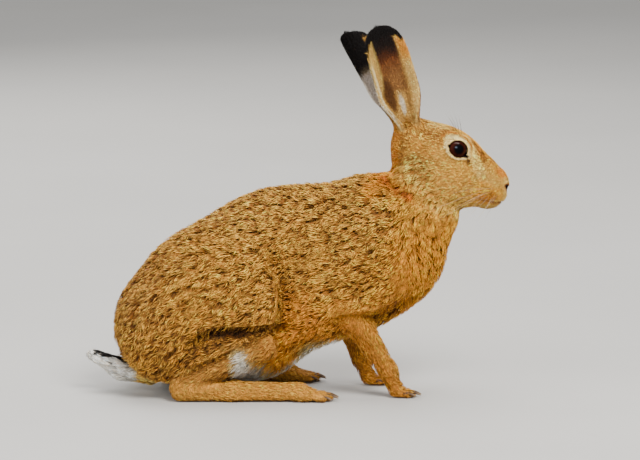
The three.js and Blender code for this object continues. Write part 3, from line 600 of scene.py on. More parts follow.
def marking(P, q=None):
    q = part_distances(P) if q is None else q
    p = Paint(P)
    x, y, z = P
    ay = np.abs(y)
    w1, w2 = wobble(P, 17.0), wobble(P, 8.0, 3.0)
    # back and sides: buff tips over a dark band, warmer and less ticked towards the belly
    zz = z + 7 * w1 + 3 * w2
    p.lay(step(176, 70, zz), rgb(236, 176, 94), None, 0.9)
    p.lay(step(100, 50, zz), rgb(232, 172, 88), rgb(112, 68, 34), 0.75)
    p.lay(step(-100, -150, x + 6 * w1) * step(40, 90, z), rgb(222, 170, 102), rgb(124, 80, 42), 1.1)
    p.lay(0.5 * step(140, 175, z + 5 * w2) * step(52, 10, ay), rgb(236, 186, 114), rgb(118, 76, 42), 1.05)
    # the lower thigh is browner, with a dark painted shadow line where it overhangs the shank, painted shade in the
    # shank's folds and along the thigh's front edge, and painted light on the ridges between the shank's folds
    p.lay(spot((x + 4 * w1, y, z), -92, 46, 46, 30) * step(30, 40, ay) * 0.7, rgb(214, 156, 80), rgb(104, 66, 34), 0.85)
    # painted shadow: a dark line in the crease under the thigh's overhang
    p.lay(near_path(P, [(-24, 71), (-50, 70), (-76, 69)], 3.6, 3.0) * step(34, 44, ay) * 0.95, rgb(92, 54, 25), rgb(52, 32, 18), 0.8)
    # painted shade: dark lines down the grooves of the shank's folds
    p.lay(near_path(P, [(-36, 61), (-64, 46), (-98, 31)], 2.6, 2.4) * step(38, 48, ay) * 0.9, rgb(104, 62, 30), rgb(60, 38, 21), 0.8)
    p.lay(near_path(P, [(-30, 48), (-56, 36), (-84, 22)], 1.8, 2.4) * step(38, 48, ay) * 0.7, rgb(116, 70, 34), rgb(70, 44, 24), 0.8)
    p.lay(near_path(P, [(-58, 66), (-92, 50), (-112, 38)], 1.6, 2.4) * step(38, 48, ay) * 0.55, rgb(130, 82, 42), rgb(80, 50, 28), 0.8)
    # painted shade: dark down the crease at the thigh's front edge, spreading onto the flank beside it
    p.lay(near_path(P, [(-12, 70), (-10, 92), (-8, 112), (-6, 128)], 3.0, 4.5) * step(30, 40, ay) * step(134, 100, z) * 0.9, rgb(100, 58, 26), rgb(58, 35, 19), 0.8)
    p.lay(near_path(P, [(-6, 74), (0, 96), (6, 118)], 2.6, 5.0) * step(30, 40, ay) * step(122, 98, z) * 0.6, rgb(150, 90, 42), rgb(84, 50, 26), 0.8)
    # painted light: pale streaks on the ridges between the shank's folds
    p.lay(near_path(P, [(-34, 55), (-60, 40), (-92, 26)], 1.6, 1.6) * step(38, 48, ay) * 0.75, rgb(246, 190, 112), rgb(200, 140, 76), 0.15)
    p.lay(near_path(P, [(-44, 64), (-74, 51), (-98, 38)], 1.3, 1.6) * step(38, 48, ay) * 0.6, rgb(240, 182, 104), rgb(190, 132, 70), 0.2)
    # lower flank, shoulder and breast, with a painted shadow under the breast where it overhangs the foreleg
    p.lay(step(-18, -4, x + 3 * w2) * step(66, 38, x) * step(126 - 0.35 * np.clip(x, 0, 60), 84 - 0.2 * np.clip(x, 0, 60), zz), rgb(240, 162, 74), rgb(156, 96, 46), 0.5)
    p.lay(step(30, 84, x + 6 * w1) * step(178, 120, z + 4 * w2) * 0.8, ORANGE, rgb(120, 72, 36), 0.75)
    p.lay(step(80, 110, x + 4 * w1) * step(204, 156, z), rgb(244, 172, 72), rgb(170, 106, 48), 0.42)
    # painted shadow: dark red-brown under the breast, above the foreleg
    p.lay(near_path(P, [(58, 84), (78, 87), (100, 96)], 4.4, 5.0) * step(14, 26, ay) * 0.85, rgb(126, 60, 25), rgb(76, 38, 20), 0.6)
    # belly, the inside of the thighs and a pale patch in front of the shank
    under = step(60, 44, zz - 0.16 * (x - 10)) * step(46, 32, ay + 3 * w2)
    p.lay(under * step(-150, -110, x), WHITE, rgb(196, 186, 172), 0.2)
    p.lay(step(-6, 4, x + 3 * w2) * step(46, 28, x) * step(58, 45, z - 0.30 * (x - 8) + 3 * w1) * 0.9, rgb(246, 234, 206), rgb(190, 172, 140), 0.25)
    p.lay(spot((x + 3 * w1, y, z), -12, 47, 18, 28) * step(8, 18, ay) * 0.97, rgb(252, 178, 80), rgb(184, 114, 54), 0.4)
    # neck: golden, rusty down the nape
    neck = step(10, -4, q["neck"]) * step(150, 182, z + 4 * w2) * step(262, 240, z)
    p.lay(neck * step(134, 116, x + 3 * w2) * 0.85, rgb(234, 176, 84), rgb(140, 86, 40), 0.6)
    p.lay(neck * step(100, 84, x - 0.30 * (210 - z)) * 0.6, rgb(246, 174, 80), rgb(160, 98, 46), 0.5)
    p.lay(near_path(P, [(93, 252), (92, 228), (90, 210), (76, 196)], 4.6, 5.5) * 0.85, rgb(252, 170, 68), rgb(172, 98, 42), 0.3)
    p.lay(near_path(P, [(90, 206), (99, 202), (110, 198)], 3.4, 4.5) * step(2, 10, ay) * 0.75, rgb(190, 98, 40), rgb(110, 54, 26), 0.5)
    # legs and feet
    for side in ("right", "left"):
        p.lay(step(7, -2, q["fore_" + side]) * step(112, 84, z) * 0.95, rgb(250, 184, 88), rgb(184, 116, 56), 0.4)
        # painted shade: the rear half of each foreleg a little darker
        p.lay(step(3, -3, q["fore_" + side]) * step(92, 70, z) * step(6, -4, x - 50 - 0.64 * (86 - z) + (0 if side == "right" else 10)) * 0.35, rgb(200, 118, 52), rgb(120, 62, 30), 0.5)
        p.lay(step(6, 0, q["shank_" + side]) * step(66, 50, z - 0.42 * (x + 60)) * 0.8, rgb(234, 178, 108), rgb(150, 96, 52), 0.6)
        p.lay(step(5, 0, q["foot_" + side]) * step(30, 18, z), rgb(246, 186, 106), rgb(182, 122, 64), 0.35)
        p.lay(step(3, 0, q["foot_" + side]) * step(5.5, 2.5, z), rgb(170, 118, 72), rgb(116, 78, 48), 0.2)
    # pale hair shows between the shank and the foot
    p.lay(spot((x + 0.35 * (z - 28) + 2 * w2, y, z), -43, 31, 12, 23) * step(0, 5, q["foot_right"]) * step(0, 5, q["foot_left"]) * 0.97, rgb(250, 244, 230), rgb(206, 194, 176), 0.15)
    # tail: black above, white at the sides and below
    tail = step(5, -1, q["tail"]) * step(-138, -148, x)
    p.lay(tail, WHITE, rgb(220, 212, 198), 0.1)
    spine = 19 + np.clip(-138 - x, 0, 28) * 0.143 + np.clip(-166 - x, 0, 40) * 0.48
    top = step(2.4, 5.0, z - spine) * step(7.5, 5.0, ay)
    p.lay(tail * top, BLACK, BLACK, 0.1)
    # head
    head = step(8, -2, q["head"]) * step(98, 110, x - 0.25 * (z - 220))
    A, W, B = eye_local(P)
    o = eye_opening(A, B)
    if head.max() > 0:
        p.lay(head, rgb(255, 208, 130), rgb(184, 126, 66), 0.6)
        # forehead and crown, between and behind the eyes
        p.lay(head * step(234, 248, z + 0.42 * (x - 140)) * 0.9, rgb(255, 200, 122), rgb(140, 90, 46), 1.1)
        p.lay(head * spot((x + w2, y, z), 137, 257, 11, 6) * step(18, 9, ay) * 0.8, rgb(255, 226, 168), rgb(206, 156, 98), 0.4)
        p.lay(head * spot((x + w2, y, z), 119, 262, 8, 7) * 0.6, rgb(232, 168, 86), rgb(136, 88, 44), 0.8)
        # the bridge: a brown-orange saddle, darker along its sides
        bridge = step(10, 5, np.abs(q_bridge(x, z))) * step(150, 160, x)
        p.lay(head * bridge * step(13.5, 9.5, ay), rgb(255, 192, 98), rgb(170, 112, 56), 0.6)
        p.lay(head * near_path(P, [(166, 248), (173, 236), (180, 226)], 1.8, 2.2) * step(4, 7, ay) * 0.8, rgb(176, 116, 60), rgb(120, 76, 42), 0.5)
        p.lay(head * spot(P, 192, 210, 9.5, 6) * step(12, 7, ay), rgb(246, 166, 80), rgb(206, 130, 62), 0.25)
        # cheek, jaw and throat
        p.lay(head * spot(P, 158, 220, 17, 8) * step(6, 12, ay) * 0.6, rgb(255, 204, 112), rgb(200, 138, 70), 0.4)
        p.lay(head * spot((x + 2 * w2, y, z), 114, 221, 17, 15) * 0.85, rgb(255, 218, 146), rgb(132, 86, 44), 1.05)
        p.lay(head * near_path(P, [(128, 236), (118, 242), (106, 240)], 3.0, 3.0) * step(8, 14, ay) * 0.5, rgb(236, 170, 86), rgb(160, 104, 52), 0.6)
        p.lay(head * step(196, 186, z - 0.12 * (x - 150)) * step(176, 150, x), rgb(252, 206, 128), rgb(206, 154, 88), 0.3)
        # the rusty whisker pad with rows of brown spots, the cream lips and chin
        p.lay(head * spot(P, 182, 196, 12, 10) * step(4, 7, ay) * 0.85, rgb(255, 194, 84), rgb(206, 136, 60), 0.4)
        p.lay(head * spot((x + w2, y, z), 182, 191, 9, 5.5) * step(4, 7, ay) * 0.7, rgb(228, 148, 62), rgb(160, 94, 44), 0.5)
        rows = np.sin((x - 176) * 1.75) * np.cos((z - 190) * 1.6 + 0.5 * (x - 176))
        p.lay(head * spot(P, 183, 194.5, 9, 6.5) * step(0.35, 0.75, rows) * step(5, 7, ay) * 0.65, rgb(160, 100, 52), rgb(124, 78, 42), 0.4)
        p.lay(head * step(5.0, 2.2, path_distance(x, z, [(198, 205), (200.5, 197), (200, 190), (196, 186.4)])) * step(12, 8, ay) * 0.85, rgb(250, 214, 156), rgb(226, 184, 128), 0.1)
        p.lay(head * step(2.6, 1.4, np.abs(z - 187.2 - 0.05 * (190 - x))) * step(178, 188, x) * 0.5, rgb(244, 200, 134), rgb(210, 160, 100), 0.1)
        p.lay(head * step(186, 182, z) * step(172, 182, x), rgb(246, 202, 140), rgb(196, 152, 100), 0.2)
        # cream in front of the eye, running down and forwards, and the ring
        p.lay(head * near_path(P, [(161.5, 245), (168, 233), (172, 222), (176, 215)], 2.9, 2.8) * step(5, 9, ay) * 0.95, rgb(255, 226, 170), rgb(236, 194, 136), 0.1)
        p.lay(head * near_path(P, [(173, 222), (182, 208), (190, 203)], 2.6, 3.6) * step(5, 9, ay) * 0.5, rgb(242, 204, 148), rgb(196, 150, 100), 0.25)
        broad = 2.7 + 2.2 * step(-2, 6, B) + 1.0 * step(0, -10, A)
        ring = step(broad + 0.8, broad - 0.6, o) * step(0.0, 4.0, W + 3)
        p.lay(ring * step(130, 136, x), rgb(255, 232, 190), rgb(248, 212, 160), 0.0)
        p.lay(step(1.5, 0.6, np.abs(o - (broad + 1.9))) * step(-1, 6, B) * step(0.0, 4.0, W + 5) * head * 0.8, rgb(214, 136, 62), rgb(150, 86, 40), 0.3)
        p.lay(step(1.0, 0.4, np.abs(o - 4.2)) * step(-3, -6, B) * step(0.0, 4.0, W + 3) * head * 0.4, rgb(170, 116, 66), rgb(110, 72, 40), 0.3)
        cant = path_distance(A, B, [(9.6, -2.4), (13.2, -4.8), (17.0, -9.5)])
        p.lay(step(1.5, 0.6, cant) * step(2, 4, W + 1) * head * 0.75, rgb(90, 56, 36), rgb(66, 42, 28), 0.3)
        p.lay(step(1.4, 0.7, o) * step(0.0, 4.0, W + 1), rgb(34, 22, 18), rgb(30, 20, 17), 0.0)
        Q = (x, ay, z)
        nn = nostril(Q)
        p.lay(step(2.6, 1.5, nn), rgb(150, 92, 66), rgb(120, 72, 54), 0.1)
        # painted shade: near black inside the nostril's hollow
        p.lay(step(1.3, 0.5, nn), rgb(40, 24, 20), rgb(30, 18, 16), 0.0)
        p.lay(step(1.1, 0.5, lip_cleft(Q)), rgb(110, 66, 50), rgb(70, 42, 34), 0.0)
        p.lay(step(1.2, 0.5, mouth_line(Q)) * 0.9, rgb(150, 98, 60), rgb(120, 76, 48), 0.0)
    # ears
    for side in ("right", "left"):
        d = q["ear_" + side]
        ear = step(3.0, 0.6, d)
        if ear.max() == 0:
            continue
        e = EARS[side]
        u, v, w = ear_local(P, e)
        s = u / EAR_LEN
        sc = np.clip(s, 0, 1)
        rho = ear_rho(sc)
        wq = w - ear_centre(sc)
        inner = step(0.6, -0.6, np.hypot(v, wq) - rho)
        ang = np.arctan2(v, -wq)
        f = np.clip(ang * rho / np.maximum(ear_half(sc), 0.5), -1.6, 1.6) * (-1 if side == "right" else 1)   # -1 rear margin, 1 front margin
        ear = ear * step(-0.02, 0.07, s)
        out = 1 - inner
        jig = 0.025 * w2
        # back of the ear
        p.lay(ear * out, rgb(222, 176, 116), rgb(140, 96, 58), 0.6)
        p.lay(ear * out * step(0.72, 0.52, s + jig) * step(0.80, 0.45, np.abs(f + 0.15)), rgb(206, 194, 184), rgb(128, 114, 104), 0.8)
        p.lay(ear * out * step(0.70, 0.55, s + jig) * step(-0.42, -0.62, f) * 0.9, rgb(252, 244, 226), rgb(214, 200, 180), 0.3)
        p.lay(ear * out * step(0.60, 0.35, s) * step(0.35, 0.10, s) * 0.4, rgb(150, 130, 112), rgb(100, 84, 70), 0.5)
        p.lay(ear * out * step(0.16, 0.05, s), rgb(222, 164, 96), rgb(130, 86, 50), 0.6)
        p.lay(ear * out * step(0.54, 0.66, s + jig + 0.08 * np.abs(f)) * step(0.80, 0.62, f), BLACK, BLACK, 0.1)
        p.lay(ear * out * step(0.66, 0.80, f) * step(0.40, 0.55, s) * step(0.87, 0.80, s), rgb(236, 172, 100), rgb(176, 112, 60), 0.3)
        # inside of the ear
        p.lay(ear * inner, rgb(218, 180, 130), rgb(134, 94, 60), 0.5)
        p.lay(ear * inner * step(0.62, 0.42, np.abs(f - 0.05)) * step(0.28, 0.36, s), rgb(166, 120, 88), rgb(104, 70, 50), 0.5)
        p.lay(ear * inner * step(0.60, 0.38, np.abs(f - 0.05)) * step(0.42, 0.76, s + jig), rgb(112, 56, 34), rgb(72, 38, 26), 0.3)
        p.lay(ear * inner * step(0.66, 0.48, np.abs(f - 0.02)) * step(0.62, 0.82, s + jig), rgb(34, 24, 21), BLACK, 0.1)
        # painted shade: a dark patch in the hollow of the cup, between the rear margin and the inner ridge
        p.lay(ear * inner * spot((f, y, s), -0.40, 0.33, 0.30, 0.17) * 0.9, rgb(92, 56, 34), rgb(60, 38, 26), 0.3)
        p.lay(ear * inner * spot((f + 0.05 * w2, y, s), -0.64, 0.64, 0.22, 0.24) * 0.8, rgb(222, 200, 152), rgb(140, 118, 84), 0.7)
        p.lay(ear * inner * spot((f, y, s), 0.12, 0.19, 0.14, 0.11) * 0.75, rgb(246, 240, 228), rgb(196, 184, 166), 0.3)
        p.lay(ear * inner * spot((f, y, s), 0.50, 0.34, 0.10, 0.22) * 0.5, rgb(150, 104, 66), rgb(96, 64, 42), 0.5)
        # margins
        p.lay(ear * step(0.62, 0.76, f) * step(0.88, 0.80, s), rgb(250, 224, 178), rgb(176, 128, 80), 0.45)
        p.lay(ear * step(0.58, 0.76, f) * step(0.56, 0.70, s) * step(0.88, 0.82, s), rgb(238, 170, 90), rgb(176, 110, 54), 0.3)
        p.lay(ear * out * step(0.86, 0.97, f) * step(0.52, 0.40, s) * 0.7, rgb(150, 98, 56), rgb(90, 58, 36), 0.6)
        p.lay(ear * inner * step(-0.50, -0.66, f) * step(0.88, 0.80, s) * step(0.40, 0.50, s), rgb(232, 198, 144), rgb(160, 118, 76), 0.6)
        p.lay(ear * step(0.13, 0.04, np.abs(f + 0.95)) * step(0.78, 0.62, s), rgb(254, 238, 206), rgb(236, 214, 172), 0.1)
        rim_dark = step(0.852, 0.888, s + 0.02 * w2) + step(0.80, 0.85, s) * step(0.84, 0.94, np.abs(f))
        p.lay(ear * rim_dark, BLACK, BLACK, 0.1)
    # the hair is a rich, clear colour wherever it is not pale or black
    for c, depth in ((p.tip, 0.29), (p.band, 0.25)):
        rich = step(0.86, 0.66, c.min(1) / np.maximum(c.max(1), 1e-3)) * step(0.14, 0.26, c.max(1))
        c[:, 2] *= 1 - depth * rich
        c[:, 1] *= 1 - 0.03 * rich
    return p


def q_bridge(x, z):
    """Height above or below the line of the nose bridge, in the side view."""
    return (z - 236.0) * 0.766 + (x - 172.0) * 0.643 - 2.0

def bare(P):
    """1 where the skin has no hair: rims of the lids, nostrils, lips."""
    A, W, B = eye_local(P)
    o = eye_opening(A, B)
    lid = step(1.5, 0.9, o) * step(0, 2, W)
    Q = (P[0], np.abs(P[1]), P[2])
    nose = step(2.0, 1.2, nostril(Q))
    lips = step(0.9, 0.5, np.minimum(lip_cleft(Q), mouth_line(Q)))
    return np.maximum(np.maximum(lid, nose), lips)

def linear(c):
    return np.where(c <= 0.04045, c / 12.92, ((c + 0.055) / 1.055) ** 2.4)

# ---------------------------------------------------------------- materials
PIECES = []

def material(name):
    m = bpy.data.materials.new(name)
    m.use_nodes = True
    t = m.node_tree
    return m, t, t.nodes["Principled BSDF"]

def node(t, kind_, **values):
    n = t.nodes.new(kind_)
    for k, v in values.items():
        if k in n.inputs:
            n.inputs[k].default_value = v
        else:
            setattr(n, k, v)
    return n

def attribute(t, name):
    n = t.nodes.new("ShaderNodeAttribute")
    n.attribute_name = name
    return n

def maths(t, op, a, b=None, clamp=False):
    n = t.nodes.new("ShaderNodeMath")
    n.operation = op
    n.use_clamp = clamp
    for i, v in enumerate((a, b)):
        if v is None:
            continue
        if isinstance(v, (int, float)):
            n.inputs[i].default_value = v
        else:
            t.links.new(v, n.inputs[i])
    return n.outputs[0]

def mixed(t, factor, a, b, mode="MIX"):
    n = t.nodes.new("ShaderNodeMix")
    n.data_type = "RGBA"
    n.blend_type = mode
    for sock, v in ((n.inputs[0], factor), (n.inputs[6], a), (n.inputs[7], b)):
        if isinstance(v, (int, float)):
            sock.default_value = v
        elif isinstance(v, tuple):
            sock.default_value = v
        else:
            t.links.new(v, sock)
    return n.outputs[2]

def ramp(t, factor, stops, mode="LINEAR"):
    n = t.nodes.new("ShaderNodeValToRGB")
    n.color_ramp.interpolation = mode
    e = n.color_ramp.elements
    while len(e) < len(stops):
        e.new(0.5)
    for el, (pos, c) in zip(e, stops):
        el.position = pos
        el.color = (c, c, c, 1) if isinstance(c, (int, float)) else (*c, 1)
    t.links.new(factor, n.inputs[0])
    return n.outputs[0]

# the coat: a dark band and a paler tip along each lock, with painted shade darkening it towards the root, and fine
# strands across it
COAT_MAT, t, b = material("coat")
along, across, own = attribute(t, "along").outputs["Fac"], attribute(t, "across").outputs["Fac"], attribute(t, "own").outputs["Fac"]
tipc, bandc = attribute(t, "tip").outputs["Color"], attribute(t, "band").outputs["Color"]
comb = t.nodes.new("ShaderNodeCombineXYZ")
t.links.new(maths(t, "MULTIPLY", across, 4.2), comb.inputs[0])
t.links.new(maths(t, "MULTIPLY", along, 0.9), comb.inputs[1])
t.links.new(maths(t, "MULTIPLY", own, 91.0), comb.inputs[2])
strand = node(t, "ShaderNodeTexNoise", Scale=1.6, Detail=2.0, Roughness=0.6)
t.links.new(comb.outputs[0], strand.inputs["Vector"])
s = strand.outputs["Fac"]
shift = maths(t, "ADD", along, maths(t, "MULTIPLY", maths(t, "SUBTRACT", own, 0.5), 0.26))
shift = maths(t, "ADD", shift, maths(t, "MULTIPLY", maths(t, "SUBTRACT", s, 0.5), 0.34))
f = ramp(t, shift, [(0.56, 0.0), (0.74, 1.0)])
col = mixed(t, f, bandc, tipc)
# painted shade: each lock darker towards its root, deep in the coat
painted_root_shade = ramp(t, along, [(0.0, 0.72), (0.36, 1.0)])
col = mixed(t, 1.0, col, painted_root_shade, "MULTIPLY")
stripes = ramp(t, s, [(0.34, 0.72), (0.50, 1.0), (0.66, 1.18)])
col = mixed(t, 1.0, col, stripes, "MULTIPLY")
t.links.new(col, b.inputs["Base Color"])
b.inputs["Roughness"].default_value = 0.62
b.inputs["Specular IOR Level"].default_value = 0.11
b.inputs["Sheen Weight"].default_value = 0.03
b.inputs["Sheen Roughness"].default_value = 0.5
bump = node(t, "ShaderNodeBump", Strength=0.35, Distance=0.0004)
t.links.new(s, bump.inputs["Height"])
t.links.new(bump.outputs[0], b.inputs["Normal"])

# the skin: the same markings, darker, as the roots of the coat are
SKIN_MAT, t, b = material("skin")
mark = attribute(t, "mark").outputs["Color"]
tc = t.nodes.new("ShaderNodeTexCoord")
n1 = node(t, "ShaderNodeTexNoise", Scale=620.0, Detail=3.0, Roughness=0.65)
t.links.new(tc.outputs["Object"], n1.inputs["Vector"])
col = mixed(t, 1.0, mark, ramp(t, n1.outputs["Fac"], [(0.32, 0.62), (0.5, 0.95), (0.68, 1.2)]), "MULTIPLY")
t.links.new(col, b.inputs["Base Color"])
b.inputs["Roughness"].default_value = 0.72
b.inputs["Specular IOR Level"].default_value = 0.2
bump = node(t, "ShaderNodeBump", Strength=0.5, Distance=0.0006)
t.links.new(n1.outputs["Fac"], bump.inputs["Height"])
t.links.new(bump.outputs[0], b.inputs["Normal"])

# the eye: pupil, radial iris and dark rim, by the angle from its axis, under a wet surface
EYE_MAT, t, b = material("eye")
ang = attribute(t, "angle").outputs["Fac"]          # 0 at the middle of the pupil, 1 at the iris's rim
turnv = attribute(t, "spoke").outputs["Vector"]
n1 = node(t, "ShaderNodeTexNoise", Scale=5.0, Detail=4.0, Roughness=0.7)
t.links.new(turnv, n1.inputs["Vector"])
fibres = ramp(t, n1.outputs["Fac"], [(0.35, 0.45), (0.5, 0.9), (0.65, 1.5)])
iris = ramp(t, ang, [(0.36, tuple(linear(rgb(22, 8, 7)))), (0.54, tuple(linear(rgb(46, 16, 10)))), (0.74, tuple(linear(rgb(58, 22, 13)))), (0.88, tuple(linear(rgb(30, 12, 9)))), (1.0, tuple(linear(rgb(8, 5, 5))))])
iris = mixed(t, 1.0, iris, fibres, "MULTIPLY")
pupil = ramp(t, maths(t, "ADD", ang, maths(t, "MULTIPLY", maths(t, "SUBTRACT", n1.outputs["Fac"], 0.5), 0.03)), [(0.34, 0.0), (0.39, 1.0)])
col = mixed(t, pupil, (0.0025, 0.0022, 0.003, 1), iris)
t.links.new(col, b.inputs["Base Color"])
b.inputs["Roughness"].default_value = 0.32
b.inputs["Specular IOR Level"].default_value = 0.08
b.inputs["Coat Weight"].default_value = 1.0
b.inputs["Coat Roughness"].default_value = 0.03
b.inputs["Coat IOR"].default_value = 1.33

CLAW_MAT, t, b = material("claw")
w = attribute(t, "along").outputs["Fac"]
n1 = node(t, "ShaderNodeTexNoise", Scale=900.0, Detail=2.0)
tc = t.nodes.new("ShaderNodeTexCoord")
t.links.new(tc.outputs["Object"], n1.inputs["Vector"])
col = ramp(t, w, [(0.0, tuple(linear(rgb(66, 48, 38)))), (0.55, tuple(linear(rgb(84, 64, 50)))), (1.0, tuple(linear(rgb(148, 126, 102))))])
col = mixed(t, 1.0, col, ramp(t, n1.outputs["Fac"], [(0.3, 0.8), (0.7, 1.15)]), "MULTIPLY")
t.links.new(col, b.inputs["Base Color"])
b.inputs["Roughness"].default_value = 0.38

WHISKER_MAT, t, b = material("whisker")
w = attribute(t, "along").outputs["Fac"]
own = attribute(t, "own").outputs["Fac"]
dark = ramp(t, w, [(0.0, tuple(linear(rgb(38, 28, 22)))), (0.5, tuple(linear(rgb(60, 46, 36)))), (1.0, tuple(linear(rgb(190, 176, 156))))])
light = ramp(t, w, [(0.0, tuple(linear(rgb(150, 118, 80)))), (0.3, tuple(linear(rgb(196, 168, 126)))), (1.0, tuple(linear(rgb(226, 206, 170))))])
pick = maths(t, "GREATER_THAN", own, 0.35)
t.links.new(mixed(t, pick, dark, light), b.inputs["Base Color"])
b.inputs["Roughness"].default_value = 0.4

FLOOR_MAT, t, b = material("floor")
tc = t.nodes.new("ShaderNodeTexCoord")
n1 = node(t, "ShaderNodeTexNoise", Scale=3.0, Detail=3.0)
t.links.new(tc.outputs["Object"], n1.inputs["Vector"])
t.links.new(ramp(t, n1.outputs["Fac"], [(0.3, (0.46, 0.455, 0.445)), (0.7, (0.485, 0.48, 0.47))]), b.inputs["Base Color"])
b.inputs["Roughness"].default_value = 0.9

# ---------------------------------------------------------------- the skin
def grid_step(h):
    return h * 1.0

g = grid_step
GX = lines((-206, 40, g(3.2)), (40, 96, g(1.6)), (96, 206, g(1.1)))
GY = lines((-76, -38, g(2.4)), (-38, 38, g(1.1)), (38, 76, g(2.4)))
GZ = lines((-2, 26, g(1.7)), (26, 172, g(3.0)), (172, 264, g(1.0)), (264, 362, g(1.6)))

def make_mesh(name, V, faces, smooth=True):
    me = bpy.data.meshes.new(name)
    V = (V - SHIFT) / 1000.0
    me.vertices.add(len(V))
    me.vertices.foreach_set("co", V.astype(np.float32).ravel())
    sizes = np.array([f.shape[1] for f in faces for _ in range(len(f))]) if len(faces) > 1 else np.full(len(faces[0]), faces[0].shape[1])
    loops = np.concatenate([f.ravel() for f in faces])
    me.loops.add(len(loops))
    me.loops.foreach_set("vertex_index", loops.astype(np.int32))
    me.polygons.add(len(sizes))
    me.polygons.foreach_set("loop_start", np.concatenate([[0], np.cumsum(sizes)[:-1]]).astype(np.int32))
    me.polygons.foreach_set("loop_total", sizes.astype(np.int32))
    me.polygons.foreach_set("use_smooth", np.full(len(sizes), smooth))
    me.update(calc_edges=True)
    ob = bpy.data.objects.new(name, me)
    bpy.context.scene.collection.objects.link(ob)
    return ob

def put_colour(me, name, c):
    a = me.attributes.new(name, "FLOAT_COLOR", "POINT")
    rgba = np.ones((len(c), 4), np.float32); rgba[:, :3] = c
    a.data.foreach_set("color", rgba.ravel())

def put_float(me, name, v):
    a = me.attributes.new(name, "FLOAT", "POINT")
    a.data.foreach_set("value", v.astype(np.float32))

G = sample(flesh, GX, GY, GZ)
SKIN_V, SKIN_Q = surface_nets(G, GX, GY, GZ)
del G
for _ in range(2):
    P = columns(SKIN_V)
    d = flesh(P)
    gr = gradient(flesh, SKIN_V)
    move = -(d / np.maximum((gr ** 2).sum(1), 0.3))[:, None] * gr
    size = np.linalg.norm(move, axis=1, keepdims=True)
    SKIN_V = SKIN_V + move * np.minimum(1, 0.55 / np.maximum(size, 1e-9))
SKIN_N = unit(gradient(outline, SKIN_V, 0.5))
skin = make_mesh("skin", SKIN_V, [SKIN_Q])
paint = marking(columns(SKIN_V))
SKIN_TRIS = np.concatenate([SKIN_Q[:, [0, 1, 2]], SKIN_Q[:, [0, 2, 3]]])
under = paint.tip * 0.55 + paint.band * 0.45
under = under * (0.90 + 0.10 * bare(columns(SKIN_V)))[:, None]
put_colour(skin.data, "mark", linear(np.clip(under, 0, 1)))

# the skin's own unwrap, which the coat's patches follow
bpy.context.view_layer.objects.active = skin
skin.select_set(True)
skin.data.uv_layers.new(name="OFBake")
bpy.ops.object.mode_set(mode="EDIT")
bpy.ops.mesh.select_all(action="SELECT")
bpy.ops.uv.smart_project(angle_limit=radians(62), island_margin=0.002, area_weight=0.0, correct_aspect=True, scale_to_bounds=False)
bpy.ops.object.mode_set(mode="OBJECT")
skin.select_set(False)
uv = np.empty(len(skin.data.loops) * 2, np.float32)
skin.data.uv_layers["OFBake"].data.foreach_get("uv", uv)
SKIN_UV = uv.reshape(-1, 4, 2)                   # one corner of each quad after another
print("skin", len(SKIN_V), "points", 2 * len(SKIN_Q), "triangles")

# ---------------------------------------------------------------- the coat
NOSE = np.array([203.0, 0.0, 201.0])
# part: length, width, share of the height it stands, how much the clumps draw together, mm between clumps
COAT = dict(
    trunk=(12.0, 1.18, 1.0, 0.40, 3.8), neck=(11.0, 1.08, 1.0, 0.42, 4.0), head=(5.6, 0.84, 1.0, 0.40, 2.8),
    haunch=(12.0, 1.18, 1.0, 0.40, 3.8), shank=(8.5, 1.2, 1.0, 0.42, 4.0), foot=(6.0, 1.0, 1.0, 0.30, 3.4),
    fore=(6.6, 1.0, 1.0, 0.36, 3.6), tail=(13.0, 1.5, 1.0, 0.30, 5.0), ear=(3.4, 0.7, 1.0, 0.15, 2.4))
PART_ORDER = ["trunk", "neck", "head", "haunch_right", "haunch_left", "shank_right", "shank_left", "foot_right", "foot_left", "fore_right", "fore_left", "tail", "ear_right", "ear_left"]

def kind(part):
    return part.split("_")[0]

